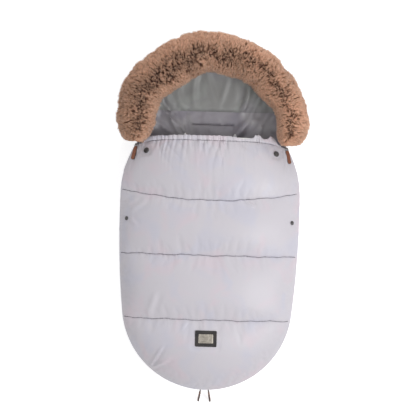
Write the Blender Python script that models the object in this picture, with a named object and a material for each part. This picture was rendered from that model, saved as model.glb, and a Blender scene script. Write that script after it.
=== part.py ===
"""A quilted stroller footmuff with a fur-trimmed hood, lying on its back with the head end at +Y.

Sizes are in metres. Every layer follows one outline, a chain of tangent arcs, at its own inset.
The quilted cover, shaped by a dome formula with puffed channels, is what takes the most skill here.
"""

import math

import bmesh
import bpy
from mathutils import Matrix, Vector

MM = 0.001

# The outline, seen from above
FOOT_RADIUS = 235 * MM
SIDE_RADIUS = 2500 * MM
SHOULDER_RADIUS = 260 * MM
NECK_RADIUS = 60 * MM
HOOD_RADIUS = 202 * MM
SHOULDER_START_Y = 545 * MM
HOOD_CENTRE_Y = 745 * MM
SIDE_LEAN = math.radians(6.2)
FOOT_STEPS, SIDE_STEPS, SHOULDER_STEPS, NECK_STEPS, HOOD_STEPS = 16, 3, 6, 3, 8

# Clearances
CLEAR = 0.3 * MM
OVERRUN = 5 * MM

# The zip, which runs round the edge as an upright band
ZIP_Z = 46 * MM
COIL_HEIGHT = 2.2 * MM
COIL_DEPTH = 2.6 * MM
COIL_PARTING = 1.8 * MM
COIL_INSET = 2.3 * MM
TAPE_THICKNESS = 1.0 * MM
BACK_TAPE_HEIGHT = 11.6 * MM
BACK_TAPE_SHOWN = 4.1 * MM
COVER_TAPE_HEIGHT = 3.8 * MM
STOP_LENGTH = 2.5 * MM
BRIDGE_HALF_WIDTH = 3.0 * MM

# The back: an outer shell, a padding and a lining, each a tray
SHELL_THICKNESS = 1.5 * MM
LINING_THICKNESS = 1.2 * MM
CORNER_RADIUS = 20 * MM
FLOOR_Z = 22 * MM
WALL_INSET = 3.1 * MM
EDGE_ROLL = 12 * MM
HOOD_EDGE_Z = 58 * MM
HOOD_SEAM_Y = 771 * MM
HOOD_RISE_GAP = 15 * MM
HOOD_SPREAD_SHARE = 1.6
BOWL_INSET_SHARES = (1.0, 1.33, 2.2, 3.75)
BOWL_RISE_SHARES = (1.0, 0.55, 0.18, 0.0)

# The harness slots through the back
SHOULDER_SLOT_LENGTH = 114 * MM
CROTCH_SLOT_LENGTH = 50 * MM
SLOT_WIDTH = 10 * MM
UPPER_SLOT_Y = 735 * MM
LOWER_SLOT_Y = 610 * MM
CROTCH_SLOT_Y = 335 * MM

# The cover: quilted panels over a lining
COVER_RISE = 71 * MM
COVER_THICKNESS = 18 * MM
SEAM_THICKNESS = 4.5 * MM
COVER_SIDE = 10 * MM
DOME_POWER = 2.5
BODY_EDGE_ROUNDNESS = 1.5
FLAP_EDGE_ROUNDNESS = 1.0
PUFF_SHAPE_SHARE = 0.6
HEM_Y = 687 * MM
HEM_DROP = 17 * MM
HEM_DROP_POWER = 6
FOLD_SEAM_SHARE = 0.763
MIDDLE_SEAM_SHARE = 0.544
FOOT_SEAM_SHARE = 0.287
FOLD_SEAM_SAG = 26 * MM
FOOT_TIP_SHARE = 0.25
COLUMNS = 16
PANEL_ROWS = 8
FOOT_ROWS = 10

# The hem tunnel and its elastic
TUNNEL_HEIGHT = 14 * MM
TUNNEL_WALL = 0.9 * MM
TUNNEL_END_SHARE = 0.88
TUNNEL_COLUMNS = 20
ELASTIC_WIDTH = 8 * MM
ELASTIC_THICKNESS = 1.2 * MM

# The fur trim, an arch over the hood's edge
FUR_HALF_WIDTH = 208 * MM
FUR_ARCH_HEIGHT = 194 * MM
FUR_OUTER = 54 * MM
FUR_INNER = 44 * MM
FUR_HALF_HEIGHT = 39 * MM
FUR_END = 46 * MM
BACKING_THICKNESS = 1.2 * MM
BACKING_OUTER = 4 * MM
BACKING_INNER = 14 * MM
FUR_STEPS = 24
FUR_SIDES = 12
FUR_END_STEPS = 3

# The press studs
SOCKET_RADIUS = 8 * MM
SOCKET_HEIGHT = 2.2 * MM
STUD_RADIUS = 5.8 * MM
STUD_HEIGHT = 3.6 * MM
CAP_RADIUS = 6.5 * MM
CAP_HEIGHT = 2.2 * MM
SNAP_SEAT = 0.8 * MM
SOCKET_INSET = 41 * MM
SOCKET_BELOW_HEM = 31 * MM
STUD_INSET = 21 * MM
STUD_BELOW_FOLD = 56 * MM
TURNED_SIDES = 12
HARD_CREASE, SOFT_CREASE = 40, 60

# The label patch and its bare plate
LABEL_WIDTH = 60 * MM
LABEL_LENGTH = 45 * MM
LABEL_THICKNESS = 1.4 * MM
PLATE_WIDTH = 41 * MM
PLATE_LENGTH = 26 * MM
PLATE_THICKNESS = 0.8 * MM
LABEL_SHARE = 0.745

# The sliders
SLIDER_LENGTH = 9 * MM
SLIDER_PLATE = 1.0 * MM
SLIDER_GAP = 0.6 * MM
SLIDER_WEB = 0.5 * MM
LUG_RADIUS = 2.4 * MM
LUG_THICKNESS = 1.6 * MM
LUG_STEM = 3.2 * MM
LUG_HOLE_RADIUS = 1.3 * MM
LUG_OFFSET = 2.4 * MM
BOTTOM_SLIDER_RUN = 11 * MM
TOP_SLIDER_BACK = 5 * MM

# The pulls: a wire ring and a folded leather tab
WIRE_RADIUS = 0.75 * MM
RING_LENGTH = 9 * MM
RING_HALF_WIDTH = 5.5 * MM
RING_CORNER = 1.5 * MM
TAB_LENGTH = 36 * MM
TAB_WIDTH = 12 * MM
TAB_THICKNESS = 4.0 * MM
LEATHER_THICKNESS = 1.6 * MM
TAB_TIP_RADIUS = 5 * MM
TAB_NECK_LENGTH = 3 * MM
TAB_SHOULDER_LENGTH = 4 * MM
TOP_PIN_INSET = 3.9 * MM
TOP_PULL_LIFT = 0.5 * MM
TOP_PULL_HEADING = math.radians(6)
BOTTOM_PIN_REACH = 7.5 * MM
BOTTOM_PIN_DROP = 9 * MM
BOTTOM_PULL_DROOP = math.radians(45)
BOTTOM_PULL_LEAN = math.radians(5)

FOLD_CLEARANCE = 1.5 * MM
HINGE_OUTSIDE = 0.5 * MM
KNOT_MERGE = 0.5 * MM
SLOPE_STEP = 0.5 * MM

# Heights of the zip's stack, from the parting plane
BACK_COIL_TOP = ZIP_Z - COIL_PARTING / 2
BACK_COIL_LOW = BACK_COIL_TOP - COIL_HEIGHT
BACK_TAPE_TOP = BACK_COIL_LOW - CLEAR
BACK_TAPE_LOW = BACK_TAPE_TOP - BACK_TAPE_HEIGHT
BACK_EDGE_Z = BACK_TAPE_TOP - BACK_TAPE_SHOWN
COVER_COIL_LOW = ZIP_Z + COIL_PARTING / 2
COVER_COIL_TOP = COVER_COIL_LOW + COIL_HEIGHT
COVER_TAPE_LOW = COVER_COIL_TOP + CLEAR
COVER_TAPE_TOP = COVER_TAPE_LOW + COVER_TAPE_HEIGHT
COVER_EDGE_Z = COVER_TAPE_TOP + CLEAR
CROWN_Z = COVER_EDGE_Z + COVER_RISE
CREASE = COVER_THICKNESS - SEAM_THICKNESS

FOLD_Y = HEM_Y * FOLD_SEAM_SHARE
MIDDLE_SEAM_Y = HEM_Y * MIDDLE_SEAM_SHARE
FOOT_SEAM_Y = HEM_Y * FOOT_SEAM_SHARE
FOLD_AXIS_Z = CROWN_Z + FOLD_CLEARANCE


def polar(centre, radius, angle):
    """The plan point at an angle on a circle."""
    return Vector((centre[0] + radius * math.cos(angle), centre[1] + radius * math.sin(angle)))


def neck_centre():
    """The centre of the hollow neck arc that touches the shoulder and the hood circles."""
    across = HOOD_CENTRE - SHOULDER_CENTRE
    gap = across.length
    low, high = SHOULDER_RADIUS + NECK_RADIUS, HOOD_RADIUS + NECK_RADIUS
    along = (low ** 2 - high ** 2 + gap ** 2) / (2 * gap)
    out = math.sqrt(low ** 2 - along ** 2)
    axis = across / gap
    return SHOULDER_CENTRE + axis * along + Vector((axis.y, -axis.x)) * out


FOOT_CENTRE = Vector((0.0, FOOT_RADIUS))
SIDE_START = polar(FOOT_CENTRE, FOOT_RADIUS, -SIDE_LEAN)
SIDE_CENTRE = polar(SIDE_START, SIDE_RADIUS, math.pi - SIDE_LEAN)
SHOULDER_LEAN = math.asin((SHOULDER_START_Y - SIDE_CENTRE.y) / SIDE_RADIUS)
SHOULDER_CENTRE = polar(SIDE_CENTRE, SIDE_RADIUS - SHOULDER_RADIUS, SHOULDER_LEAN)
HOOD_CENTRE = Vector((0.0, HOOD_CENTRE_Y))
NECK_CENTRE = neck_centre()
SHOULDER_END = math.atan2(*(NECK_CENTRE - SHOULDER_CENTRE).yx)
HOOD_START = math.atan2(*(NECK_CENTRE - HOOD_CENTRE).yx)
HOOD_RISE_START_Y = polar(SHOULDER_CENTRE, SHOULDER_RADIUS, SHOULDER_END).y + HOOD_RISE_GAP

ARCS = (
    (FOOT_CENTRE, FOOT_RADIUS, -math.pi / 2, -SIDE_LEAN, FOOT_STEPS, -1),
    (SIDE_CENTRE, SIDE_RADIUS, -SIDE_LEAN, SHOULDER_LEAN, SIDE_STEPS, -1),
    (SHOULDER_CENTRE, SHOULDER_RADIUS, SHOULDER_LEAN, SHOULDER_END, SHOULDER_STEPS, -1),
    (NECK_CENTRE, NECK_RADIUS, SHOULDER_END + math.pi, HOOD_START + math.pi, NECK_STEPS, 1),
    (HOOD_CENTRE, HOOD_RADIUS, HOOD_START, math.pi / 2, HOOD_STEPS, -1),
)


def walk_outline():
    """The right half's knots from the foot to the top of the hood: run, place and inward normal."""
    knots = []
    run = 0.0
    for centre, radius, start, stop, steps, inward in ARCS:
        for step in range(1 if knots else 0, steps + 1):
            angle = start + (stop - start) * step / steps
            if step:
                run += radius * abs(stop - start) / steps
            knots.append((run, polar(centre, radius, angle), polar((0, 0), inward, angle)))
    return knots


KNOTS = walk_outline()
OUTLINE_RUN = KNOTS[-1][0]
ZIP_RUN = sum(radius * abs(stop - start) for _, radius, start, stop, _, _ in ARCS[:3])


def station(run, inset):
    """The plan point at a run from the foot, moved inwards; a negative run is on the left side."""
    side = -1 if run < 0 else 1
    run = min(abs(run), OUTLINE_RUN)
    for (low, start, start_normal), (high, stop, stop_normal) in zip(KNOTS, KNOTS[1:]):
        if run <= high:
            share = (run - low) / (high - low)
            place = start.lerp(stop, share) + start_normal.lerp(stop_normal, share) * inset
            return Vector((place.x * side, place.y))
    return None


def run_at(y):
    """The run at which the right half of the outline reaches a height above the foot."""
    for (low, start, _), (high, stop, _) in zip(KNOTS, KNOTS[1:]):
        if y <= stop.y:
            return low + (high - low) * (y - start.y) / (stop.y - start.y)
    return OUTLINE_RUN


def runs_between(start, stop):
    """The runs of a band on one side, with the outline's knots between its ends."""
    middle = [run for run, _, _ in KNOTS if start + KNOT_MERGE < run < stop - KNOT_MERGE]
    return [start] + middle + [stop]


def smoothstep(low, high, value):
    """Rises smoothly from 0 at low to 1 at high."""
    share = min(max((value - low) / (high - low), 0.0), 1.0)
    return share * share * (3 - 2 * share)


BODIES = {}


def clear_scene():
    """Removes what a new file holds."""
    for obj in list(bpy.data.objects):
        bpy.data.objects.remove(obj, do_unlink=True)


def add_body(name, pivot, parent=None):
    """An empty on a body's joint axis that carries the body's pieces."""
    empty = bpy.data.objects.new(name + "_axis", None)
    bpy.context.scene.collection.objects.link(empty)
    empty.empty_display_size = LABEL_WIDTH
    origin = Vector((0.0, 0.0, 0.0))
    if parent:
        empty.parent, origin = BODIES[parent]
    empty.location = Vector(pivot) - origin
    BODIES[name] = (empty, Vector(pivot))


def finish_material(name, colour, roughness, metallic=0.0):
    """A plain Principled material."""
    material = bpy.data.materials.new(name)
    material.use_nodes = True
    shader = material.node_tree.nodes["Principled BSDF"]
    shader.inputs["Base Color"].default_value = (*colour, 1.0)
    shader.inputs["Roughness"].default_value = roughness
    shader.inputs["Metallic"].default_value = metallic
    material.diffuse_color = (*colour, 1.0)
    return material


def closed_mesh(name, vertices, faces):
    """A mesh whose faces all point outwards."""
    mesh = bpy.data.meshes.new(name)
    mesh.from_pydata([tuple(vertex) for vertex in vertices], [], faces)
    work = bmesh.new()
    work.from_mesh(mesh)
    bmesh.ops.recalc_face_normals(work, faces=work.faces)
    work.to_mesh(mesh)
    work.free()
    return mesh


def place_mesh(name, mesh, material, body, crease=HARD_CREASE):
    """Puts a mesh, given in the footmuff's frame, on a body as a named piece."""
    empty, pivot = BODIES[body]
    mesh.transform(Matrix.Translation(-pivot))
    mesh.materials.clear()
    mesh.materials.append(material)
    mesh.shade_smooth()
    mesh.set_sharp_from_angle(angle=math.radians(crease))
    piece = bpy.data.objects.new(name, mesh)
    bpy.context.scene.collection.objects.link(piece)
    piece.parent = empty
    return piece


def mirrored(mesh):
    """The left-hand copy of a right-hand mesh."""
    copy = mesh.copy()
    copy.transform(Matrix.Scale(-1, 4, Vector((1, 0, 0))))
    copy.flip_normals()
    return copy


def place_pair(name, mesh, material, bodies, crease=HARD_CREASE):
    """Places a right-hand mesh and its left-hand mirror image."""
    left = mirrored(mesh)
    place_mesh("right_" + name, mesh, material, bodies[0], crease)
    place_mesh("left_" + name, left, material, bodies[1], crease)


def combined(mesh, tools, operation):
    """The mesh after a Boolean with each of the tool meshes."""
    scene = bpy.context.scene.collection.objects
    base = bpy.data.objects.new("base", mesh)
    scene.link(base)
    helpers = []
    for tool in tools:
        helper = bpy.data.objects.new("tool", tool)
        scene.link(helper)
        helpers.append(helper)
        modifier = base.modifiers.new("boolean", "BOOLEAN")
        modifier.operation = operation
        modifier.object = helper
    graph = bpy.context.evaluated_depsgraph_get()
    result = bpy.data.meshes.new_from_object(base.evaluated_get(graph))
    for helper in helpers + [base]:
        bpy.data.objects.remove(helper, do_unlink=True)
    return result


def box_mesh(low, high):
    """A box between two corners."""
    corners = [(x, y, z) for x in (low[0], high[0]) for y in (low[1], high[1]) for z in (low[2], high[2])]
    faces = [(0, 1, 3, 2), (4, 6, 7, 5), (0, 4, 5, 1), (2, 3, 7, 6), (0, 2, 6, 4), (1, 5, 7, 3)]
    return closed_mesh("box", corners, faces)


def loft(rings, closed_section=True):
    """Vertices and faces of a tube through rings of points, capped at both ends."""
    vertices = [point for ring in rings for point in ring]
    count = len(rings[0])
    faces = []
    for ring in range(len(rings) - 1):
        for side in range(count if closed_section else count - 1):
            a, b = ring * count + side, ring * count + (side + 1) % count
            faces.append((a, b, b + count, a + count))
    last = (len(rings) - 1) * count
    faces.append(tuple(range(count)))
    faces.append(tuple(range(last + count - 1, last - 1, -1)))
    return vertices, faces


def band_mesh(runs, insets, heights):
    """A band with a rectangular section that follows the outline."""
    rings = []
    for run in runs:
        near, far = station(run, insets[0]), station(run, insets[1])
        rings.append([(near.x, near.y, heights[0]), (far.x, far.y, heights[0]),
                      (far.x, far.y, heights[1]), (near.x, near.y, heights[1])])
    return closed_mesh("band", *loft(rings))


def band_pair(name, start, stop, insets, heights, material, body):
    """The same band on both sides, as two pieces."""
    place_pair(name, band_mesh(runs_between(start, stop), insets, heights), material, (body, body))


def joined(meshes):
    """Several closed meshes as one, for like pieces that share a node."""
    work = bmesh.new()
    for mesh in meshes:
        work.from_mesh(mesh)
    result = bpy.data.meshes.new("group")
    work.to_mesh(result)
    work.free()
    return result


def edge_height(y):
    """The height of the back's edge: low round the body, higher round the hood."""
    rise = smoothstep(HOOD_RISE_START_Y, HOOD_CENTRE_Y, y)
    return BACK_EDGE_Z + (HOOD_EDGE_Z - BACK_EDGE_Z) * rise


def rounded_wall(edge, inset, floor):
    """A profile down an upright wall and round its lower corner to a flat floor."""
    profile = [(inset, edge)]
    for step in range(4):
        angle = math.radians(30 * step)
        profile.append((CORNER_RADIUS - (CORNER_RADIUS - inset) * math.cos(angle),
                        CORNER_RADIUS - (CORNER_RADIUS - floor) * math.sin(angle)))
    return profile


def bowl(edge, y, lift):
    """A profile from the rolled edge down the padded wall to the floor, raised by a lift."""
    spread = 1 + HOOD_SPREAD_SHARE * smoothstep(HOOD_RISE_START_Y, HOOD_CENTRE_Y, y)
    top = edge - LINING_THICKNESS - CLEAR
    profile = []
    for inset_share, rise_share in zip(BOWL_INSET_SHARES, BOWL_RISE_SHARES):
        inset = EDGE_ROLL * inset_share * (spread if rise_share < 1 else 1)
        height = FLOOR_Z + (top - FLOOR_Z) * rise_share
        profile.append((inset + lift * rise_share, height + lift))
    return profile


def shell_profiles(edge, y):
    """The outer shell: its outside and its inside."""
    return (rounded_wall(edge, 0.0, 0.0),
            rounded_wall(edge, SHELL_THICKNESS, SHELL_THICKNESS))


def padding_profiles(edge, y):
    """The padding: its underside and its top."""
    top = edge - LINING_THICKNESS - CLEAR
    under = rounded_wall(top, WALL_INSET, SHELL_THICKNESS + CLEAR)
    return under, bowl(edge, y, 0.0)


def lining_profiles(edge, y):
    """The lining: its underside and its top."""
    low, high = edge - LINING_THICKNESS, edge
    under = [(WALL_INSET, low)] + bowl(edge, y, CLEAR)
    over = [(WALL_INSET, high)] + bowl(edge, y, CLEAR + LINING_THICKNESS)
    return under, over


def tray_mesh(profiles):
    """A closed tray round the whole outline, from the profiles of its two sides."""
    loop = [(run, 1) for run, _, _ in KNOTS] + [(run, -1) for run, _, _ in KNOTS[-2:0:-1]]
    rings = None
    for run, side in loop:
        y = station(run, 0.0).y
        points = []
        for profile in profiles(edge_height(y), y):
            line = []
            for inset, height in profile:
                place = station(run, inset)
                line.append((place.x * side, place.y, height))
            points.append(line)
        section = points[0][::-1] + points[1]
        turning = len(points[0]) - 1
        rings = [[] for _ in section] if rings is None else rings
        for ring, point in zip(rings, section):
            ring.append(point)
    vertices, faces = loft(rings)
    count = len(loop)
    split = []
    for index, (a, b, c, d) in enumerate(faces[:-2]):
        ring, side = divmod(index, count)
        if (ring < turning) == (side < count // 2):
            split += [(a, b, d), (b, c, d)]
        else:
            split += [(a, b, c), (a, c, d)]
    return closed_mesh("tray", vertices, split + faces[-2:])


def slot_tool():
    """The cutters of the harness slots, as one mesh."""
    boxes = []
    for y, length in ((UPPER_SLOT_Y, SHOULDER_SLOT_LENGTH), (LOWER_SLOT_Y, SHOULDER_SLOT_LENGTH),
                      (CROTCH_SLOT_Y, CROTCH_SLOT_LENGTH)):
        boxes.append(box_mesh((-length / 2, y - SLOT_WIDTH / 2, -OVERRUN),
                              (length / 2, y + SLOT_WIDTH / 2, HOOD_EDGE_Z)))
    return joined(boxes)


def build_back(materials):
    """The shell, padding and lining, each cut across at the hood's seam."""
    wide = HOOD_RADIUS + SHOULDER_RADIUS
    far = HOOD_CENTRE_Y + HOOD_RADIUS + OVERRUN
    above = box_mesh((-wide, HOOD_SEAM_Y - CLEAR / 2, -OVERRUN), (wide, far, HOOD_EDGE_Z + OVERRUN))
    below = box_mesh((-wide, -OVERRUN, -OVERRUN), (wide, HOOD_SEAM_Y + CLEAR / 2, HOOD_EDGE_Z + OVERRUN))
    layers = (("shell", shell_profiles, materials["shell"]),
              ("padding", padding_profiles, materials["wadding"]),
              ("lining", lining_profiles, materials["lining"]))
    for name, profiles, material in layers:
        tray = tray_mesh(profiles)
        back = combined(tray.copy(), [above.copy(), slot_tool()], "DIFFERENCE")
        hood = combined(tray, [below.copy()], "DIFFERENCE")
        place_mesh("back_" + name, back, material, "back")
        place_mesh("hood_" + name, hood, material, "back")


def edge_distance(x, y):
    """How far a plan point lies inside the outline of the cover."""
    x = abs(x)
    angle = math.atan2(y - SIDE_CENTRE.y, x - SIDE_CENTRE.x)
    if angle < -SIDE_LEAN:
        return FOOT_RADIUS - math.hypot(x - FOOT_CENTRE.x, y - FOOT_CENTRE.y)
    if angle > SHOULDER_LEAN:
        return SHOULDER_RADIUS - math.hypot(x - SHOULDER_CENTRE.x, y - SHOULDER_CENTRE.y)
    return SIDE_RADIUS - math.hypot(x - SIDE_CENTRE.x, y - SIDE_CENTRE.y)


def dome_share(x, y, inset):
    """The cover's height at a plan point, as a share of its rise."""
    reach = FOOT_RADIUS - inset
    depth = min(max(edge_distance(x, y) - inset, 0.0), reach)
    angle = math.atan2(y - SIDE_CENTRE.y, abs(x) - SIDE_CENTRE.x)
    flatter = smoothstep(-SHOULDER_LEAN, SHOULDER_LEAN, angle)
    roundness = BODY_EDGE_ROUNDNESS + (FLAP_EDGE_ROUNDNESS - BODY_EDGE_ROUNDNESS) * flatter
    return (1 - (1 - depth / reach) ** DOME_POWER) ** (1 / roundness)


def half_width(y, inset):
    """Half the cover's width at a height above the foot, inside an inset."""
    if y < FOOT_CENTRE.y - (FOOT_RADIUS - inset) * math.sin(SIDE_LEAN):
        centre, radius = FOOT_CENTRE, FOOT_RADIUS
    elif y < SIDE_CENTRE.y + (SIDE_RADIUS - inset) * math.sin(SHOULDER_LEAN):
        centre, radius = SIDE_CENTRE, SIDE_RADIUS
    else:
        centre, radius = SHOULDER_CENTRE, SHOULDER_RADIUS
    return centre.x + math.sqrt(max((radius - inset) ** 2 - (y - centre.y) ** 2, 0.0))


def fold_line(across):
    """The fold seam's height above the foot, at a share of the half width."""
    return FOLD_Y + FOLD_SEAM_SAG * across ** 2


def middle_line(across):
    """The middle seam is straight."""
    return MIDDLE_SEAM_Y


def foot_line(across):
    """The foot seam is straight."""
    return FOOT_SEAM_Y


def hem_line(across):
    """The hem's seam drops towards the zips."""
    return HEM_Y - HEM_DROP * abs(across) ** HEM_DROP_POWER


def puff(share):
    """How full a channel is, from 0 at a seam to 1 in its middle."""
    return math.sin(math.pi * min(max(share, 0.0), 1.0)) ** PUFF_SHAPE_SHARE


def outer_height(x, y, fullness):
    """The cover's outside, drawn in by its crease where the channel isn't full."""
    return COVER_EDGE_Z + (COVER_RISE - CREASE * (1 - fullness)) * dome_share(x, y, 0.0)


def inner_height(x, y, depth):
    """A layer of the cover's inside, at a depth below the panels' inner face."""
    inset = COVER_SIDE + depth
    return COVER_EDGE_Z + (COVER_RISE - COVER_THICKNESS - depth) * dome_share(x, y, inset)


def cover_outside(x, y):
    """The height of the cover's outside at any plan point."""
    across = x / half_width(y, 0.0)
    lines = (foot_line(across), middle_line(across), fold_line(across), hem_line(across))
    if y < lines[0]:
        share = y / lines[0]
        return outer_height(x, y, puff(share) if share > 0.5 else 1.0)
    for low, high in zip(lines, lines[1:]):
        if y < high:
            return outer_height(x, y, puff((y - low) / (high - low)))
    return outer_height(x, y, 0.0)


def across_shares():
    """Shares of the half width for the cover's columns, closer together at the sides."""
    return [math.sin(math.pi / 2 * (2 * column / COLUMNS - 1)) for column in range(COLUMNS + 1)]


def panel_grid(low, high, rows, inset, height):
    """Rows of points between two seam lines; without a low line they start on the foot's arc."""
    grid = []
    for row in range(rows + 1):
        share = row / rows
        line = []
        for across in across_shares():
            if low:
                y = low(across) + (high(across) - low(across)) * share
                x = half_width(y, inset) * across
            elif row:
                y = inset + (high(across) - inset) * (1 - math.cos(math.pi / 2 * share))
                x = half_width(y, inset) * across
                share_y = (y - inset) / (high(across) - inset)
                line.append((x, y, height(x, y, puff(share_y) if share_y > 0.5 else 1.0)))
                continue
            else:
                first = inset + (high(0) - inset) * (1 - math.cos(math.pi / 2 / rows)) * FOOT_TIP_SHARE
                x = half_width(first, inset) * across
                y = FOOT_RADIUS - math.sqrt((FOOT_RADIUS - inset) ** 2 - x ** 2)
                line.append((x, y, COVER_EDGE_Z))
                continue
            line.append((x, y, height(x, y, puff(share))))
        grid.append(line)
    return grid


def sheet_between(outer, inner):
    """A closed mesh between two grids of the same size, split into matching triangles."""
    rows, columns = len(outer), len(outer[0])
    vertices = [point for line in outer for point in line] + [point for line in inner for point in line]
    under = rows * columns
    faces = []
    for row in range(rows - 1):
        for column in range(columns - 1):
            a = row * columns + column
            b, c, d = a + 1, a + columns + 1, a + columns
            halves = ((a, b, c), (a, c, d)) if column < columns // 2 else ((a, b, d), (b, c, d))
            for half in halves:
                faces.append(half)
                faces.append(tuple(index + under for index in reversed(half)))
    edge = [column for column in range(columns)]
    edge += [row * columns + columns - 1 for row in range(1, rows)]
    edge += [(rows - 1) * columns + column for column in range(columns - 2, -1, -1)]
    edge += [row * columns for row in range(rows - 2, 0, -1)]
    for start, stop in zip(edge, edge[1:] + edge[:1]):
        faces.append((start, start + under, stop + under, stop))
    return closed_mesh("sheet", vertices, faces)


def shifted(line, distance):
    """A seam line moved along the cover, for the gap at a seam."""
    return lambda across: line(across) + distance


def build_cover(materials):
    """The four quilted panels and the two linings."""
    half = CLEAR / 2
    panels = (("cover_panel_1", fold_line, hem_line, "flap"),
              ("cover_panel_2", middle_line, fold_line, "cover"),
              ("cover_panel_3", foot_line, middle_line, "cover"),
              ("cover_panel_4", None, foot_line, "cover"))
    for name, low, high, body in panels:
        low_line = low and shifted(low, half)
        high_line = shifted(high, -half)
        rows = PANEL_ROWS if low else FOOT_ROWS
        outer = panel_grid(low_line, high_line, rows, 0.0, outer_height)
        inner = panel_grid(low_line, high_line, rows, COVER_SIDE,
                           lambda x, y, fullness: inner_height(x, y, 0.0))
        place_mesh(name, sheet_between(outer, inner), materials["cover"], body)
    lining_grids = {"cover": [], "flap": []}
    for depth in (CLEAR, CLEAR + LINING_THICKNESS):
        inset = COVER_SIDE + depth

        def height(x, y, fullness, depth=depth):
            return inner_height(x, y, depth)

        foot = panel_grid(None, foot_line, FOOT_ROWS, inset, height)
        middle = panel_grid(foot_line, middle_line, PANEL_ROWS, inset, height)
        upper = panel_grid(middle_line, shifted(fold_line, -half), PANEL_ROWS, inset, height)
        lining_grids["cover"].append(foot + middle[1:] + upper[1:])
        flap = panel_grid(shifted(fold_line, half), shifted(hem_line, -half), PANEL_ROWS, inset, height)
        lining_grids["flap"].append(flap)
    for body, (outer, inner) in lining_grids.items():
        place_mesh(body + "_lining", sheet_between(outer, inner), materials["lining"], body)


def build_hem(materials):
    """The tunnel sewn along the cover's upper edge, and the elastic that runs through it."""
    rings, elastic = [], []
    for column in range(TUNNEL_COLUMNS + 1):
        across = TUNNEL_END_SHARE * math.sin(math.pi / 2 * (2 * column / TUNNEL_COLUMNS - 1))
        low = hem_line(across) + CLEAR / 2
        x = half_width(low, 0.0) * across
        outside, inside, band = [], [], []
        slack = (TUNNEL_HEIGHT - ELASTIC_WIDTH) / 2
        for y, face, lift in ((low, "in", 0), (low + TUNNEL_HEIGHT, "in", 0),
                              (low + TUNNEL_HEIGHT, "out", 1), (low, "out", 1)):
            base = inner_height(x, y, 0.0)
            top = outer_height(x, y, 0.0)
            outside.append((x, y, top if lift else base))
            inner_y = y + TUNNEL_WALL * (1 if y == low else -1)
            inside.append((x, inner_y, top - TUNNEL_WALL if lift else base + TUNNEL_WALL))
            band_y = y + slack * (1 if y == low else -1)
            floor = inner_height(x, band_y, 0.0) + TUNNEL_WALL + CLEAR
            band.append((x, band_y, floor + ELASTIC_THICKNESS * lift))
        rings.append((outside, inside))
        elastic.append(band)
    vertices = [point for outside, inside in rings for point in outside + inside]
    faces = []
    for ring in range(len(rings) - 1):
        for start in (0, 4):
            for side in range(4):
                a, b = ring * 8 + start + side, ring * 8 + start + (side + 1) % 4
                faces.append((a, b, b + 8, a + 8))
    for first in (0, (len(rings) - 1) * 8):
        for side in range(4):
            a, b = first + side, first + (side + 1) % 4
            faces.append((a, b, b + 4, a + 4))
    place_mesh("hem_tunnel", closed_mesh("tunnel", vertices, faces), materials["cover"], "flap")
    place_mesh("hem_elastic", closed_mesh("elastic", *loft(elastic)), materials["elastic"], "flap")


def build_fur(materials):
    """The fur roll, with rounded ends, and the strip that it is sewn to."""
    strip_low = HOOD_EDGE_Z + CLEAR
    strip_high = strip_low + BACKING_THICKNESS
    middle_z = strip_high + CLEAR + FUR_HALF_HEIGHT
    rings = []
    stations = [(0.0, -math.radians(90) * (FUR_END_STEPS - step) / FUR_END_STEPS)
                for step in range(1, FUR_END_STEPS)]
    stations += [(math.pi * step / FUR_STEPS, 0.0) for step in range(FUR_STEPS + 1)]
    stations += [(math.pi, math.radians(90) * step / FUR_END_STEPS) for step in range(1, FUR_END_STEPS)]
    for turn, end in stations:
        centre = Vector((FUR_HALF_WIDTH * math.cos(turn), HOOD_CENTRE_Y + FUR_ARCH_HEIGHT * math.sin(turn)))
        out = Vector((math.cos(turn) / FUR_HALF_WIDTH, math.sin(turn) / FUR_ARCH_HEIGHT)).normalized()
        centre.y -= FUR_END * abs(math.sin(end))
        size = math.cos(end)
        ring = []
        for side in range(FUR_SIDES):
            angle = math.tau * side / FUR_SIDES
            reach = (FUR_OUTER if math.cos(angle) > 0 else FUR_INNER) * math.cos(angle) * size
            ring.append((centre.x + out.x * reach, centre.y + out.y * reach,
                         middle_z + FUR_HALF_HEIGHT * math.sin(angle) * size))
        rings.append(ring)
    vertices, faces = loft(rings)
    faces = faces[:-2]
    last = len(vertices)
    tip_y = HOOD_CENTRE_Y - FUR_END
    vertices += [(FUR_HALF_WIDTH, tip_y, middle_z), (-FUR_HALF_WIDTH, tip_y, middle_z)]
    first_of_end = (len(rings) - 1) * FUR_SIDES
    for side in range(FUR_SIDES):
        following = (side + 1) % FUR_SIDES
        faces.append((following, side, last))
        faces.append((first_of_end + side, first_of_end + following, last + 1))
    place_mesh("fur_trim", closed_mesh("fur", vertices, faces), materials["fur"], "back", SOFT_CREASE)
    right = runs_between(run_at(HOOD_CENTRE_Y), OUTLINE_RUN)
    arch = right + [-run for run in right[-2::-1]]
    strip = band_mesh(arch, (-BACKING_OUTER, BACKING_INNER), (strip_low, strip_high))
    place_mesh("fur_backing_strip", strip, materials["backing"], "back")


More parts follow.
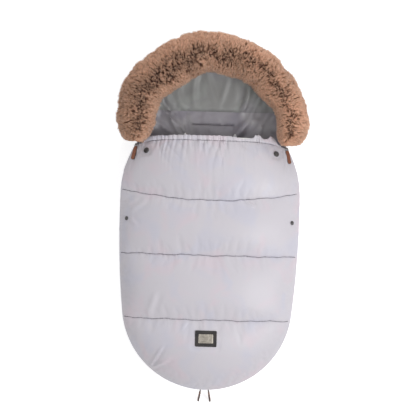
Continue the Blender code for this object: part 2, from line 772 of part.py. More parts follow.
def build_zips(materials):
    """Tapes, coils and stops of both zips, and the fabric bridge between them at the foot."""
    middle = (COIL_INSET - TAPE_THICKNESS / 2, COIL_INSET + TAPE_THICKNESS / 2)
    coil = (COIL_INSET - COIL_DEPTH / 2, COIL_INSET + COIL_DEPTH / 2)
    bottom_end = BOTTOM_SLIDER_RUN - SLIDER_LENGTH / 4
    cover_start = BOTTOM_SLIDER_RUN + SLIDER_LENGTH
    fold = run_at(fold_line(1.0))
    tape, teeth = materials["tape"], materials["coil"]
    half = CLEAR / 2
    band_pair("zip_back_tape", bottom_end, ZIP_RUN, middle, (BACK_TAPE_LOW, BACK_TAPE_TOP), tape, "back")
    band_pair("zip_back_coil", bottom_end, ZIP_RUN, coil, (BACK_COIL_LOW, BACK_COIL_TOP), teeth, "back")
    flap_stop = ZIP_RUN - TOP_SLIDER_BACK
    cover_z, coil_z = (COVER_TAPE_LOW, COVER_TAPE_TOP), (COVER_COIL_LOW, COVER_COIL_TOP)
    band_pair("zip_cover_tape", cover_start, fold - half, middle, cover_z, tape, "cover")
    band_pair("zip_cover_coil", cover_start, fold - half, coil, coil_z, teeth, "cover")
    band_pair("zip_flap_tape", fold + half, flap_stop, middle, cover_z, tape, "flap")
    band_pair("zip_flap_coil", fold + half, flap_stop, coil, coil_z, teeth, "flap")
    for name, start in (("zip_top_stop", ZIP_RUN + 2 * CLEAR),
                        ("zip_bottom_stop", bottom_end - STOP_LENGTH - 2 * CLEAR)):
        stop = band_mesh([start, start + STOP_LENGTH], coil, (BACK_COIL_LOW, BACK_COIL_TOP))
        place_pair(name, stop, materials["metal"], ("back", "back"))
    bridge = [BRIDGE_HALF_WIDTH, 0.0, -BRIDGE_HALF_WIDTH]
    lower = band_mesh(bridge, middle, (BACK_TAPE_LOW, ZIP_Z - CLEAR))
    upper = band_mesh(bridge, middle, (ZIP_Z + CLEAR, COVER_TAPE_TOP))
    place_mesh("foot_bridge_lower", lower, tape, "back")
    place_mesh("foot_bridge_upper", upper, tape, "cover")


def turned_mesh(profile):
    """A solid turned about Z from a profile of radius and height, from axis to axis."""
    vertices = [(0.0, 0.0, profile[0][1])]
    for radius, height in profile[1:-1]:
        for side in range(TURNED_SIDES):
            angle = math.tau * side / TURNED_SIDES
            vertices.append((radius * math.cos(angle), radius * math.sin(angle), height))
    vertices.append((0.0, 0.0, profile[-1][1]))
    last = len(vertices) - 1
    faces = []
    for side in range(TURNED_SIDES):
        following = (side + 1) % TURNED_SIDES
        faces.append((0, 1 + following, 1 + side))
        for ring in range(len(profile) - 3):
            low = 1 + ring * TURNED_SIDES
            high = low + TURNED_SIDES
            faces.append((low + side, low + following, high + following, high + side))
        top = last - TURNED_SIDES
        faces.append((top + side, top + following, last))
    return closed_mesh("turned", vertices, faces)


def surface_frame(height, x, y, up):
    """A frame on a height field: its Z along the normal, times up, and the point itself."""
    slope_x = (height(x + SLOPE_STEP, y) - height(x - SLOPE_STEP, y)) / (2 * SLOPE_STEP)
    slope_y = (height(x, y + SLOPE_STEP) - height(x, y - SLOPE_STEP)) / (2 * SLOPE_STEP)
    normal = Vector((-slope_x, -slope_y, 1)).normalized()
    turn = (normal * up).to_track_quat("Z", "Y").to_matrix().to_4x4()
    place = Vector((x, y, height(x, y))) + normal * up * SNAP_SEAT
    return Matrix.Translation(place) @ turn


def build_snaps(materials):
    """Sockets on the flap and studs on the cover, each held by a cap inside."""
    lip, wall = SOCKET_HEIGHT * 0.35, SOCKET_RADIUS * 0.42
    socket = ((0, 0), (SOCKET_RADIUS, 0), (SOCKET_RADIUS, SOCKET_HEIGHT * 0.6),
              (SOCKET_RADIUS * 0.85, SOCKET_HEIGHT), (wall, SOCKET_HEIGHT), (wall, lip), (0, lip))
    stud = ((0, 0), (STUD_RADIUS, 0), (STUD_RADIUS * 0.9, STUD_HEIGHT * 0.35),
            (STUD_RADIUS * 0.4, STUD_HEIGHT * 0.4), (STUD_RADIUS * 0.42, STUD_HEIGHT * 0.85),
            (STUD_RADIUS * 0.25, STUD_HEIGHT), (0, STUD_HEIGHT))
    cap = ((0, 0), (CAP_RADIUS, 0), (CAP_RADIUS * 0.85, CAP_HEIGHT * 0.6), (0, CAP_HEIGHT))
    depth = CLEAR + LINING_THICKNESS

    def inside(x, y):
        return inner_height(x, y, depth)

    socket_y, stud_y = HEM_Y - SOCKET_BELOW_HEM, FOLD_Y - STUD_BELOW_FOLD
    socket_x = half_width(socket_y, 0.0) - SOCKET_INSET
    stud_x = half_width(stud_y, 0.0) - STUD_INSET
    for name, profile, x, y, body in (("flap_socket", socket, socket_x, socket_y, "flap"),
                                      ("cover_stud", stud, stud_x, stud_y, "cover")):
        mesh = turned_mesh(profile)
        mesh.transform(surface_frame(cover_outside, x, y, 1))
        place_pair(name, mesh, materials["snap"], (body, body))
        mesh = turned_mesh(cap)
        mesh.transform(surface_frame(inside, x - CAP_RADIUS, y, -1))
        place_pair(name.replace("socket", "cap").replace("stud", "stud_cap"), mesh,
                   materials["snap"], (body, body))


def build_label(materials):
    """The sewn patch near the foot and the bare plate on it."""
    middle_y = FOOT_SEAM_Y * LABEL_SHARE
    patches = (("label_patch", LABEL_WIDTH, LABEL_LENGTH, CLEAR, LABEL_THICKNESS, materials["patch"]),
               ("label_plate", PLATE_WIDTH, PLATE_LENGTH, 2 * CLEAR + LABEL_THICKNESS,
                PLATE_THICKNESS, materials["plate"]))
    for name, width, length, lift, thickness, material in patches:
        grids = []
        for layer in (lift + thickness, lift):
            grid = []
            for row in range(5):
                y = middle_y + length * (row / 4 - 0.5)
                xs = [width * (column / 6 - 0.5) for column in range(7)]
                grid.append([(x, y, cover_outside(x, y) + layer) for x in xs])
            grids.append(grid)
        place_mesh(name, sheet_between(*grids), material, "cover")


def frame_matrix(origin, first, second, third):
    """The matrix that carries local X, Y and Z to three directions at an origin."""
    turn = Matrix((first, second, third)).transposed().to_4x4()
    return Matrix.Translation(origin) @ turn


def extruded(profile, half_length):
    """A prism along X with a profile in Y and Z."""
    rings = [[(x, y, z) for y, z in profile] for x in (-half_length, half_length)]
    return closed_mesh("prism", *loft(rings))


def cylinder_mesh(radius, half_length, sides):
    """A cylinder along Y."""
    rings = []
    for y in (-half_length, half_length):
        angles = [math.tau * side / sides for side in range(sides)]
        rings.append([(radius * math.cos(angle), y, radius * math.sin(angle)) for angle in angles])
    return closed_mesh("cylinder", *loft(rings))


def ring_mesh(frame):
    """The wire ring: a rounded rectangle whose near side is the pin, from a bevelled curve."""
    corners = []
    for along, across, start in ((0, -1, 180), (0, 1, 90), (RING_LENGTH, 1, 0), (RING_LENGTH, -1, 270)):
        centre_u = RING_CORNER if along == 0 else RING_LENGTH - RING_CORNER
        centre_a = across * (RING_HALF_WIDTH - RING_CORNER)
        for turn in (90, 45, 0):
            angle = math.radians(start + turn)
            corners.append((centre_u + RING_CORNER * math.cos(angle), centre_a + RING_CORNER * math.sin(angle)))
    corners.sort(key=lambda point: math.atan2(point[1], point[0] - RING_LENGTH / 2))
    curve = bpy.data.curves.new("ring", "CURVE")
    curve.dimensions = "3D"
    curve.bevel_depth = WIRE_RADIUS
    curve.bevel_resolution = 1
    spline = curve.splines.new("POLY")
    spline.points.add(len(corners) - 1)
    for point, (u, a) in zip(spline.points, corners):
        point.co = (u, a, 0.0, 1.0)
    spline.use_cyclic_u = True
    holder = bpy.data.objects.new("ring", curve)
    bpy.context.scene.collection.objects.link(holder)
    graph = bpy.context.evaluated_depsgraph_get()
    mesh = bpy.data.meshes.new_from_object(holder.evaluated_get(graph))
    bpy.data.objects.remove(holder, do_unlink=True)
    mesh.transform(frame)
    return mesh


def tab_mesh(frame):
    """The leather tab: a strap folded round the ring's far side, with a rounded tip."""
    half, tip = TAB_WIDTH / 2, RING_LENGTH + TAB_LENGTH
    neck = RING_HALF_WIDTH - RING_CORNER - CLEAR
    neck_end = RING_LENGTH + TAB_NECK_LENGTH
    outline = [(RING_LENGTH, -neck), (neck_end, -neck), (neck_end + TAB_SHOULDER_LENGTH, -half)]
    for side, turns in ((-1, (-90, -60, -30, 0)), (1, (0, 30, 60, 90))):
        for turn in turns:
            angle = math.radians(turn)
            outline.append((tip - TAB_TIP_RADIUS + TAB_TIP_RADIUS * math.cos(angle),
                            side * (half - TAB_TIP_RADIUS) + TAB_TIP_RADIUS * math.sin(angle)))
    outline += [(neck_end + TAB_SHOULDER_LENGTH, half), (neck_end, neck), (RING_LENGTH, neck)]
    rings = [[(u, a, n) for u, a in outline] for n in (-TAB_THICKNESS / 2, TAB_THICKNESS / 2)]
    strap = closed_mesh("strap", *loft(rings))
    hole_radius = WIRE_RADIUS + CLEAR
    bar = Matrix.Translation((RING_LENGTH, 0, 0))
    loop = cylinder_mesh(hole_radius + LEATHER_THICKNESS, neck - CLEAR, 12)
    hole = cylinder_mesh(hole_radius, half + OVERRUN, 8)
    loop.transform(bar)
    hole.transform(bar)
    mesh = combined(strap, [loop], "UNION")
    mesh = combined(mesh, [hole], "DIFFERENCE")
    mesh.transform(frame)
    return mesh


def hull_mesh(points):
    """The convex body of a few points."""
    work = bmesh.new()
    for point in points:
        work.verts.new(point)
    bmesh.ops.convex_hull(work, input=work.verts)
    mesh = bpy.data.meshes.new("hull")
    work.to_mesh(mesh)
    work.free()
    return mesh


def slider_mesh(run, up, lug_frame):
    """A slider round one half of the zip: a channel with a web, and the lug that holds the ring."""
    inner = COIL_DEPTH / 2 + SLIDER_GAP
    outer = inner + SLIDER_PLATE
    parting = COIL_PARTING / 2 - CLEAR
    far = (COVER_TAPE_TOP - ZIP_Z) if up > 0 else (ZIP_Z - BACK_EDGE_Z - CLEAR)
    near, floor = parting - SLIDER_WEB, parting
    profile = [(-outer, near * up), (outer, near * up), (outer, far * up), (inner, far * up),
               (inner, floor * up), (-inner, floor * up), (-inner, far * up), (-outer, far * up)]
    channel = extruded(profile, SLIDER_LENGTH / 2)
    middle = slider_frame(run)
    channel.transform(middle)
    lug = cylinder_mesh(LUG_RADIUS, LUG_THICKNESS / 2, 10)
    lug.transform(lug_frame)
    hole = cylinder_mesh(LUG_HOLE_RADIUS, LUG_THICKNESS / 2 + OVERRUN, 8)
    hole.transform(lug_frame)
    shift = SLIDER_LENGTH / 2 - LUG_STEM / 2 - CLEAR if up > 0 else 0.0
    high = far + LUG_STEM * 0.4 if up > 0 else far - CLEAR
    levels = [[middle @ Vector((shift + along * LUG_STEM, outer + reach * SLIDER_PLATE, height * up))
               for along in (-half, half) for reach in (near_side, far_side)]
              for height, half, near_side, far_side in ((far - LUG_STEM, 0.5, -0.15, 0.6),
                                                        (high, 0.5, -0.15, 0.6),
                                                        (high - LUG_STEM * 0.25, 0.45, -0.05, 0.5),
                                                        (high - LUG_STEM * 0.02, 0.45, -0.05, 0.5))]
    end = [lug_frame @ Vector((u, a, n)) for u in (-LUG_STEM / 2, LUG_STEM / 2)
           for a in (-LUG_THICKNESS * 0.45, LUG_THICKNESS * 0.45) for n in (-LUG_HOLE_RADIUS, LUG_HOLE_RADIUS)]
    post, arm = hull_mesh(levels[0] + levels[1]), hull_mesh(levels[2] + levels[3] + end)
    mesh = combined(channel, [post, arm, lug], "UNION")
    return combined(mesh, [hole], "DIFFERENCE")


def slider_frame(run):
    """X along the zip towards the head, Y outwards and Z up, at the coil's middle."""
    _, inward = outline_direction(run)
    place = station(run, COIL_INSET)
    outward = Vector((-inward.x, -inward.y, 0))
    along = outward.cross(Vector((0, 0, 1))) * -1
    return frame_matrix(Vector((place.x, place.y, ZIP_Z)), along, outward, Vector((0, 0, 1)))


def outline_direction(run):
    """The place and the inward normal of the true arc at a run on the right side."""
    walked = 0.0
    for centre, radius, start, stop, _, inward in ARCS:
        length = radius * abs(stop - start)
        if run <= walked + length:
            angle = start + (stop - start) * (run - walked) / length
            return polar(centre, radius, angle), polar((0, 0), inward, angle)
        walked += length
    return None


def top_pull_frame():
    """The right top pull lies on the cover's shoulder: U towards its tip, A along the pin, N up."""
    run = ZIP_RUN - TOP_SLIDER_BACK + SLIDER_LENGTH / 2
    pin = station(run, TOP_PIN_INSET)
    heading = Vector((math.sin(TOP_PULL_HEADING), -math.cos(TOP_PULL_HEADING)))
    middle = pin + heading * (RING_LENGTH + TAB_LENGTH) / 2

    def smooth(x, y):
        return outer_height(x, y, 1.0)

    rest = surface_frame(smooth, middle.x, middle.y, 1)
    normal = (rest.to_3x3() @ Vector((0, 0, 1))).normalized()
    flat = Vector((heading.x, heading.y, 0))
    along = (flat - normal * flat.dot(normal)).normalized()
    drop = (normal.x * (middle.x - pin.x) + normal.y * (middle.y - pin.y)) / normal.z
    lift = WIRE_RADIUS + CLEAR + LEATHER_THICKNESS + TOP_PULL_LIFT
    place = Vector((pin.x, pin.y, smooth(middle.x, middle.y) + drop)) + normal * lift
    return frame_matrix(place, along, normal.cross(along), normal)


def bottom_pull_frame():
    """The right bottom pull droops from its slider at the foot."""
    _, inward = outline_direction(BOTTOM_SLIDER_RUN)
    outward = Vector((-inward.x, -inward.y, 0))
    up = Vector((0, 0, 1))
    droop = outward * math.cos(BOTTOM_PULL_DROOP) - up * math.sin(BOTTOM_PULL_DROOP)
    pin = outward * math.sin(BOTTOM_PULL_DROOP) + up * math.cos(BOTTOM_PULL_DROOP)
    along = (droop * math.cos(BOTTOM_PULL_LEAN) + pin.cross(droop) * math.sin(BOTTOM_PULL_LEAN)).normalized()
    place = station(BOTTOM_SLIDER_RUN, COIL_INSET)
    place = Vector((place.x, place.y, ZIP_Z - BOTTOM_PIN_DROP)) + outward * BOTTOM_PIN_REACH
    return frame_matrix(place, along, pin, along.cross(pin))


def build_sliders(materials):
    """Four sliders, each with its ring and its leather tab."""
    top, bottom = top_pull_frame(), bottom_pull_frame()
    outer_lug = top @ Matrix.Translation((0, -LUG_OFFSET if (top.to_3x3() @ Vector((0, 1, 0))).x < 0
                                          else LUG_OFFSET, 0))
    top_run = ZIP_RUN - TOP_SLIDER_BACK
    add_body("right_top_slider", (SHOULDER_CENTRE.x, SHOULDER_CENTRE.y, ZIP_Z), "flap")
    add_body("left_top_slider", (-SHOULDER_CENTRE.x, SHOULDER_CENTRE.y, ZIP_Z), "flap")
    add_body("right_bottom_slider", (0, FOOT_CENTRE.y, ZIP_Z), "back")
    add_body("left_bottom_slider", (0, FOOT_CENTRE.y, ZIP_Z), "back")
    metal, leather = materials["metal"], materials["leather"]
    for level, run, up, lug, frame in (("top", top_run, 1, outer_lug, top),
                                       ("bottom", BOTTOM_SLIDER_RUN, -1, bottom, bottom)):
        bodies = ("right_" + level + "_slider", "left_" + level + "_slider")
        place_pair(level + "_slider", slider_mesh(run, up, lug), metal, bodies)
        pin = frame.translation
        for side, sign in (("right_", 1), ("left_", -1)):
            add_body(side + level + "_pull", (pin.x * sign, pin.y, pin.z), side + level + "_slider")
        bodies = ("right_" + level + "_pull", "left_" + level + "_pull")
        place_pair(level + "_pull_ring", ring_mesh(frame), metal, bodies)
        place_pair(level + "_pull_tab", tab_mesh(frame), leather, bodies)


def centre_lengthways():
    """Moves the footmuff so that the origin lies under the middle of its box."""
    bpy.context.view_layer.update()
    reach = []
    for piece in bpy.data.objects:
        if piece.type == "MESH":
            reach += [(piece.matrix_world @ vertex.co).y for vertex in piece.data.vertices]
    BODIES["back"][0].location.y -= (min(reach) + max(reach)) / 2


def build():
    """Builds every body, then its pieces."""
    clear_scene()
    materials = {
        "cover": finish_material("satin_nylon", (0.60, 0.57, 0.62), 0.38),
        "shell": finish_material("shell_nylon", (0.58, 0.55, 0.60), 0.45),
        "wadding": finish_material("wadding", (0.85, 0.85, 0.84), 0.95),
        "lining": finish_material("grey_lining", (0.25, 0.25, 0.26), 0.5),
        "fur": finish_material("brown_fur", (0.35, 0.22, 0.16), 0.95),
        "backing": finish_material("knit_backing", (0.20, 0.13, 0.09), 0.9),
        "tape": finish_material("zip_tape", (0.50, 0.48, 0.52), 0.8),
        "coil": finish_material("zip_coil", (0.45, 0.43, 0.46), 0.5),
        "elastic": finish_material("white_elastic", (0.8, 0.8, 0.8), 0.8),
        "metal": finish_material("pull_metal", (0.35, 0.34, 0.33), 0.35, 1.0),
        "snap": finish_material("gunmetal_snap", (0.09, 0.09, 0.09), 0.35, 1.0),
        "leather": finish_material("brown_leather", (0.22, 0.09, 0.04), 0.55),
        "patch": finish_material("black_patch", (0.02, 0.02, 0.02), 0.7),
        "plate": finish_material("grey_plate", (0.42, 0.40, 0.37), 0.4, 1.0),
    }
    add_body("back", (0, 0, 0))
    add_body("cover", (0, -HINGE_OUTSIDE, ZIP_Z), "back")
    add_body("flap", (0, FOLD_Y, FOLD_AXIS_Z), "cover")
    build_back(materials)
    build_cover(materials)
    build_hem(materials)
    build_fur(materials)
    build_zips(materials)
    build_snaps(materials)
    build_label(materials)
    build_sliders(materials)
    centre_lengthways()


build()
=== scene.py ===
import math
import random

import bmesh
import bpy
import numpy as np
from mathutils import Matrix, Vector, noise
from mathutils.geometry import delaunay_2d_cdt
from mathutils.kdtree import KDTree


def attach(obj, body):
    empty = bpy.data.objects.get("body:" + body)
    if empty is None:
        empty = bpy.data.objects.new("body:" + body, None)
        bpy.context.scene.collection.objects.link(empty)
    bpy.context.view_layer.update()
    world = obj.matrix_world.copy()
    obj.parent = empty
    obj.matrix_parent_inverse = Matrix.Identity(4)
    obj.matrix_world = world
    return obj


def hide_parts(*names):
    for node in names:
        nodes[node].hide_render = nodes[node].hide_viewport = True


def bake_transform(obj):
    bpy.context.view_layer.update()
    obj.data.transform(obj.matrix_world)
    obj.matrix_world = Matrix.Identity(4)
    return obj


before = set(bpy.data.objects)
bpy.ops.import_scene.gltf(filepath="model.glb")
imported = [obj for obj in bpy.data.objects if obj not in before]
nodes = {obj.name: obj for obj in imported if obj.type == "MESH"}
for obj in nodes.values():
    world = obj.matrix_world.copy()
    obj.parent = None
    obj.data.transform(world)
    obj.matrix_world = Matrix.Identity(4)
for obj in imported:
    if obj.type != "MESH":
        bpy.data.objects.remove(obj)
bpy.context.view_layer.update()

# The studio: a camera straight above, a pale floor that shows white, a large soft lamp on the
# right, a weaker one on the left, one beyond the head, and an even white room.
CAMERA_PLACE, CAMERA_ROLL, CAMERA_ANGLE, SENSOR = (0.001, 0.0202, 4.046), 1.7, 16.55, 36
KEY_WATTS, FILL_WATTS, HEAD_WATTS, ROOM_LIGHT = 29, 4.5, 15, 0.50
FLOOR_SIZE, FLOOR_LEVEL, FLOOR_GREY, FLOOR_GLOW, WHITE = 9, -0.0004, 0.82, 0.62, (1, 1, 1, 1)
scene = bpy.context.scene
for default in ("Cube", "Light", "Camera"):
    if default in bpy.data.objects:
        bpy.data.objects.remove(bpy.data.objects[default])


def show(name, data):
    """A new object in the scene."""
    made = bpy.data.objects.new(name, data)
    scene.collection.objects.link(made)
    return made


def plug(tree, node, **values):
    """Sets or links inputs, by name with _ for a space, or by number after a _."""
    for name, value in values.items():
        socket = node.inputs[int(name[1:]) if name[1:].isdigit() else name.replace("_", " ")]
        if isinstance(value, bpy.types.NodeSocket):
            tree.links.new(value, socket)
        else:
            socket.default_value = value
    return node


def add_node(tree, kind, settings=None, **values):
    """A node with its settings and its inputs."""
    made = tree.nodes.new(kind)
    for name, value in (settings or {}).items():
        setattr(made, name, value)
    return plug(tree, made, **values)


def reckon(tree, operation, *values):
    """The result of a math node."""
    numbered = {f"_{index}": value for index, value in enumerate(values)}
    return add_node(tree, "ShaderNodeMath", {"operation": operation}, **numbered).outputs[0]


camera = show("camera", bpy.data.cameras.new("camera"))
camera.location = CAMERA_PLACE
camera.rotation_euler = (0, 0, math.radians(CAMERA_ROLL))
camera.data.sensor_width = SENSOR
camera.data.lens = SENSOR / 2 / math.tan(math.radians(CAMERA_ANGLE / 2))
camera.data.clip_end = 50
scene.camera = camera
scene.view_settings.view_transform = "Standard"
for name, place, aim, size, watts in (
        ("key_lamp", (1.45, -0.6, 2.05), (0.0, 0.0, 0.05), 1.1, KEY_WATTS),
        ("fill_lamp", (-1.5, -0.6, 2.0), (0.0, 0.0, 0.05), 1.8, FILL_WATTS),
        ("head_lamp", (0.5, 2.4, 1.15), (0.0, 0.1, 0.05), 1.2, HEAD_WATTS)):
    lamp = show(name, bpy.data.lights.new(name, "AREA"))
    lamp.data.size, lamp.data.energy = size, watts
    lamp.location = place
    lamp.rotation_euler = (Vector(aim) - Vector(place)).to_track_quat("-Z", "Y").to_euler()


def seen_directly(tree):
    """1 for what the camera sees, also in a mirror or through glass."""
    rays = add_node(tree, "ShaderNodeLightPath").outputs
    mirrored = reckon(tree, "MAXIMUM", rays["Is Camera Ray"], rays["Is Glossy Ray"])
    return reckon(tree, "MAXIMUM", mirrored, rays["Is Transmission Ray"])


room = bpy.data.worlds.new("room")
room.use_nodes = True
scene.world = room
tree = room.node_tree
tree.nodes.clear()
room_light = add_node(tree, "ShaderNodeBackground", Color=WHITE, Strength=ROOM_LIGHT)
room_white = add_node(tree, "ShaderNodeBackground", Color=WHITE, Strength=1.0)
room_mix = add_node(tree, "ShaderNodeMixShader", _0=seen_directly(tree),
                    _1=room_light.outputs[0], _2=room_white.outputs[0])
add_node(tree, "ShaderNodeOutputWorld", Surface=room_mix.outputs[0])

bpy.ops.object.select_all(action="DESELECT")
bpy.ops.mesh.primitive_plane_add(size=FLOOR_SIZE, location=(0, 0, FLOOR_LEVEL))
floor = bpy.context.object
floor.name = "floor"
floor_paint = bpy.data.materials.new("floor_paint")
floor_paint.use_nodes = True
tree = floor_paint.node_tree
tree.nodes.clear()
paint = add_node(tree, "ShaderNodeBsdfDiffuse", Color=(FLOOR_GREY, FLOOR_GREY, FLOOR_GREY, 1))
glow = add_node(tree, "ShaderNodeEmission", Color=WHITE, Strength=FLOOR_GLOW)
bright = add_node(tree, "ShaderNodeAddShader", _0=paint.outputs[0], _1=glow.outputs[0])
floor_mix = add_node(tree, "ShaderNodeMixShader", _0=seen_directly(tree),
                     _1=paint.outputs[0], _2=bright.outputs[0])
add_node(tree, "ShaderNodeOutputMaterial", Surface=floor_mix.outputs[0])
floor.data.materials.append(floor_paint)

# The outer shell of the back and of the hood: coated nylon, cut as one flat bottom and a
# side wall, sewn to the zip tape along its upper edge and across at the hood's seam.
MM = 0.001
ROW_Y = 477.2965
FOOT_R, SIDE_R, SHOULDER_R, NECK_R, HOOD_R = 235.0, 2500.0, 260.0, 60.0, 202.0
SIDE_LEAN, SHOULDER_Y, HOOD_Y, HOOD_SEAM_Y = math.radians(6.2), 545.0, 745.0, 771.0
BACK_EDGE_Z, HOOD_EDGE_Z, CORNER_R, SHELL_THICK = 38.5, 58.0, 20.0, 1.3
SHELL_STEP, SHELL_CUT, WALL_RINGS, CORNER_RINGS, SEAM_GAP = 3.0, 8.0, 12, 8, 0.15
GATHER_HIGH, ROLL_HIGH, CREASE_HIGH, SAG_HIGH, DENTS = 2.4, 1.1, 4.5, 1.1, ((1.4, 60, 2.0), (0.9, 19, 7.0))
SLACK_FROM, SLACK_TO, CALM_FROM, CALM_TO, CALM_INSET = (430, 560), (900, 760), (280, 305), (385, 355), 1.2
HARNESS_SLOTS, SLOT_WIDE = ((735, 114), (610, 114), (335, 50)), 0.9


def polar(centre, radius, angle):
    return Vector((centre[0] + radius * math.cos(angle), centre[1] + radius * math.sin(angle)))


FOOT_C = Vector((0.0, FOOT_R))
side_start = polar(FOOT_C, FOOT_R, -SIDE_LEAN)
SIDE_C = polar(side_start, SIDE_R, math.pi - SIDE_LEAN)
SHOULDER_LEAN = math.asin((SHOULDER_Y - SIDE_C.y) / SIDE_R)
SHOULDER_C = polar(SIDE_C, SIDE_R - SHOULDER_R, SHOULDER_LEAN)
HOOD_C = Vector((0.0, HOOD_Y))
across = HOOD_C - SHOULDER_C
along = ((SHOULDER_R + NECK_R) ** 2 - (HOOD_R + NECK_R) ** 2 + across.length ** 2) / (2 * across.length)
aside = math.sqrt((SHOULDER_R + NECK_R) ** 2 - along ** 2)
axis = across.normalized()
NECK_C = SHOULDER_C + axis * along + Vector((axis.y, -axis.x)) * aside
SHOULDER_END = math.atan2(*(NECK_C - SHOULDER_C).yx)
HOOD_START = math.atan2(*(NECK_C - HOOD_C).yx)
ARCS = ((FOOT_C, FOOT_R, -math.pi / 2, -SIDE_LEAN, -1),
        (SIDE_C, SIDE_R, -SIDE_LEAN, SHOULDER_LEAN, -1),
        (SHOULDER_C, SHOULDER_R, SHOULDER_LEAN, SHOULDER_END, -1),
        (NECK_C, NECK_R, SHOULDER_END + math.pi, HOOD_START + math.pi, 1),
        (HOOD_C, HOOD_R, HOOD_START, math.pi / 2, -1))
ARC_RUNS = [radius * abs(stop - start) for _, radius, start, stop, _ in ARCS]
OUTLINE_RUN, ZIP_RUN = sum(ARC_RUNS), sum(ARC_RUNS[:3])
RISE_START_Y = polar(SHOULDER_C, SHOULDER_R, SHOULDER_END).y + 15


def walk(run, inset=0.0):
    """The plan point at a run from the foot, moved inwards; a negative run is on the left."""
    side, left = (-1 if run < 0 else 1), min(abs(run), OUTLINE_RUN - 1e-6)
    for (centre, radius, start, stop, inward), length in zip(ARCS, ARC_RUNS):
        if left <= length:
            point = polar(centre, radius + inward * inset, start + (stop - start) * left / length)
            return Vector((point.x * side, point.y))
        left -= length
    return Vector((0.0, HOOD_Y + HOOD_R - inset))


def whole_loop(step, inset=0.0):
    """The runs and points all round the outline."""
    count = round(OUTLINE_RUN / step)
    runs = [OUTLINE_RUN * i / count for i in range(count + 1)] + [-OUTLINE_RUN * i / count
                                                                 for i in range(count - 1, 0, -1)]
    return np.array(runs), np.array([walk(run, inset) for run in runs])


def smooth(low, high, value):
    share = np.clip((value - low) / (high - low), 0, 1)
    return share * share * (3 - 2 * share)


def edge_height(y):
    return BACK_EDGE_Z + (HOOD_EDGE_Z - BACK_EDGE_Z) * smooth(RISE_START_Y, HOOD_Y, y)


def soft_noise(x, y, z):
    """Soft random values from -1 to 1 at many points."""
    points = np.stack(np.broadcast_arrays(x, y, z), -1).astype(float)
    return np.array([noise.noise(point) for point in points.tolist()])


def rumple(x, y, size, seed):
    """The uneven height of cloth that isn't drawn tight."""
    return soft_noise(x / size, y / size, seed) + 0.5 * soft_noise(x / size * 2.3, y / size * 2.3, -seed)


def inside(points, loop):
    """Which plan points lie inside a closed loop."""
    x, y = points[:, 0], points[:, 1]
    found = np.zeros(len(points), bool)
    for (ax, ay), (bx, by) in zip(loop, np.roll(loop, -1, 0)):
        if ay != by:
            found ^= ((ay > y) != (by > y)) & (x < (bx - ax) * (y - ay) / (by - ay) + ax)
    return found


def nearest(points, targets):
    """The distance from each plan point to the nearest target."""
    tree = KDTree(len(targets))
    for index, point in enumerate(targets):
        tree.insert((point[0], point[1], 0), index)
    tree.balance()
    return np.array([tree.find((x, y, 0))[2] for x, y in points])


def slot_loop(y, length, width):
    """The stitched opening for a harness strap, with round ends."""
    half, r = length / 2 - width / 2, width / 2
    ends = [(half + r * math.cos(a), y + r * math.sin(a)) for a in np.linspace(-math.pi / 2, math.pi / 2, 7)]
    top = [(x, y + r) for x in np.arange(half - 5, -half + 3, -5)]
    other = [(-x, 2 * y - b) for x, b in ends]
    low = [(-x, y - r) for x, b in top]
    return np.array(ends + top + other + low)


SLOTS = [slot_loop(y, length, SLOT_WIDE) for y, length in HARNESS_SLOTS]


def cut_cloth(loop, seams, step, holes=(), seed=4):
    """A flat cut of cloth as triangles: its plan points, its faces, and 1 at edges or 2 on seams."""
    random.seed(seed)
    points, kinds, edges = [], [], []
    for line, kind, closed in [(loop, 1, True)] + [(h, 1, True) for h in holes] + [(s, 2, False) for s in seams]:
        first = len(points)
        points += [tuple(p) for p in line]
        kinds += [kind] * len(line)
        edges += [(i, i + 1) for i in range(first, len(points) - 1)]
        if closed:
            edges.append((len(points) - 1, first))
    fixed = np.array(points)
    low, high = fixed.min(0), fixed.max(0)
    web = []
    for row in range(int((high[1] - low[1]) / (step * 0.866)) + 1):
        for column in range(int((high[0] - low[0]) / step) + 1):
            web.append((low[0] + (column + (row % 2) / 2 + random.uniform(-0.2, 0.2)) * step,
                        low[1] + (row * 0.866 + random.uniform(-0.2, 0.2)) * step))
    web = np.array(web)
    web = web[inside(web, loop)]
    web = web[nearest(web, fixed) > step * 0.6]
    for hole in holes:
        web = web[~inside(web, hole)]
    points += [tuple(p) for p in web]
    kinds += [0] * len(web)
    made, _, faces, origins, _, _ = delaunay_2d_cdt([Vector(p) for p in points], edges, [], 0, 1e-4)
    plan = np.array([tuple(p) for p in made])
    kind = np.array([max([kinds[o] for o in found], default=0) for found in origins])
    faces = np.array([tuple(f) for f in faces])
    middles = plan[faces].mean(1)
    keep = inside(middles, loop)
    for hole in holes:
        keep &= ~inside(middles, hole)
    faces = faces[keep]
    a, b, c = plan[faces[:, 0]], plan[faces[:, 1]], plan[faces[:, 2]]
    turned = (b[:, 0] - a[:, 0]) * (c[:, 1] - a[:, 1]) - (b[:, 1] - a[:, 1]) * (c[:, 0] - a[:, 0]) < 0
    faces[turned] = faces[turned][:, ::-1]
    return plan, faces, kind


def add_piece(name, points, faces, material, sharp_angle=50):
    """A mesh object from points in millimetres, with the foot's tip at 0."""
    mesh = bpy.data.meshes.new(name)
    places = (np.asarray(points, float) - (0, ROW_Y, 0)) * MM
    mesh.from_pydata([tuple(p) for p in places], [], [tuple(int(i) for i in f) for f in faces])
    mesh.validate()
    mesh.materials.append(material)
    mesh.shade_smooth()
    mesh.set_sharp_from_angle(angle=math.radians(sharp_angle))
    return show(name, mesh)


def fix(piece, body, node=None):
    """Ties a piece to its body and hides its CAD part; a piece on the fold is tied to no body, its place baked into
    its points.
    """
    if body == "fold":
        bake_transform(piece)
    else:
        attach(piece, body)
    if node:
        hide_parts(node)


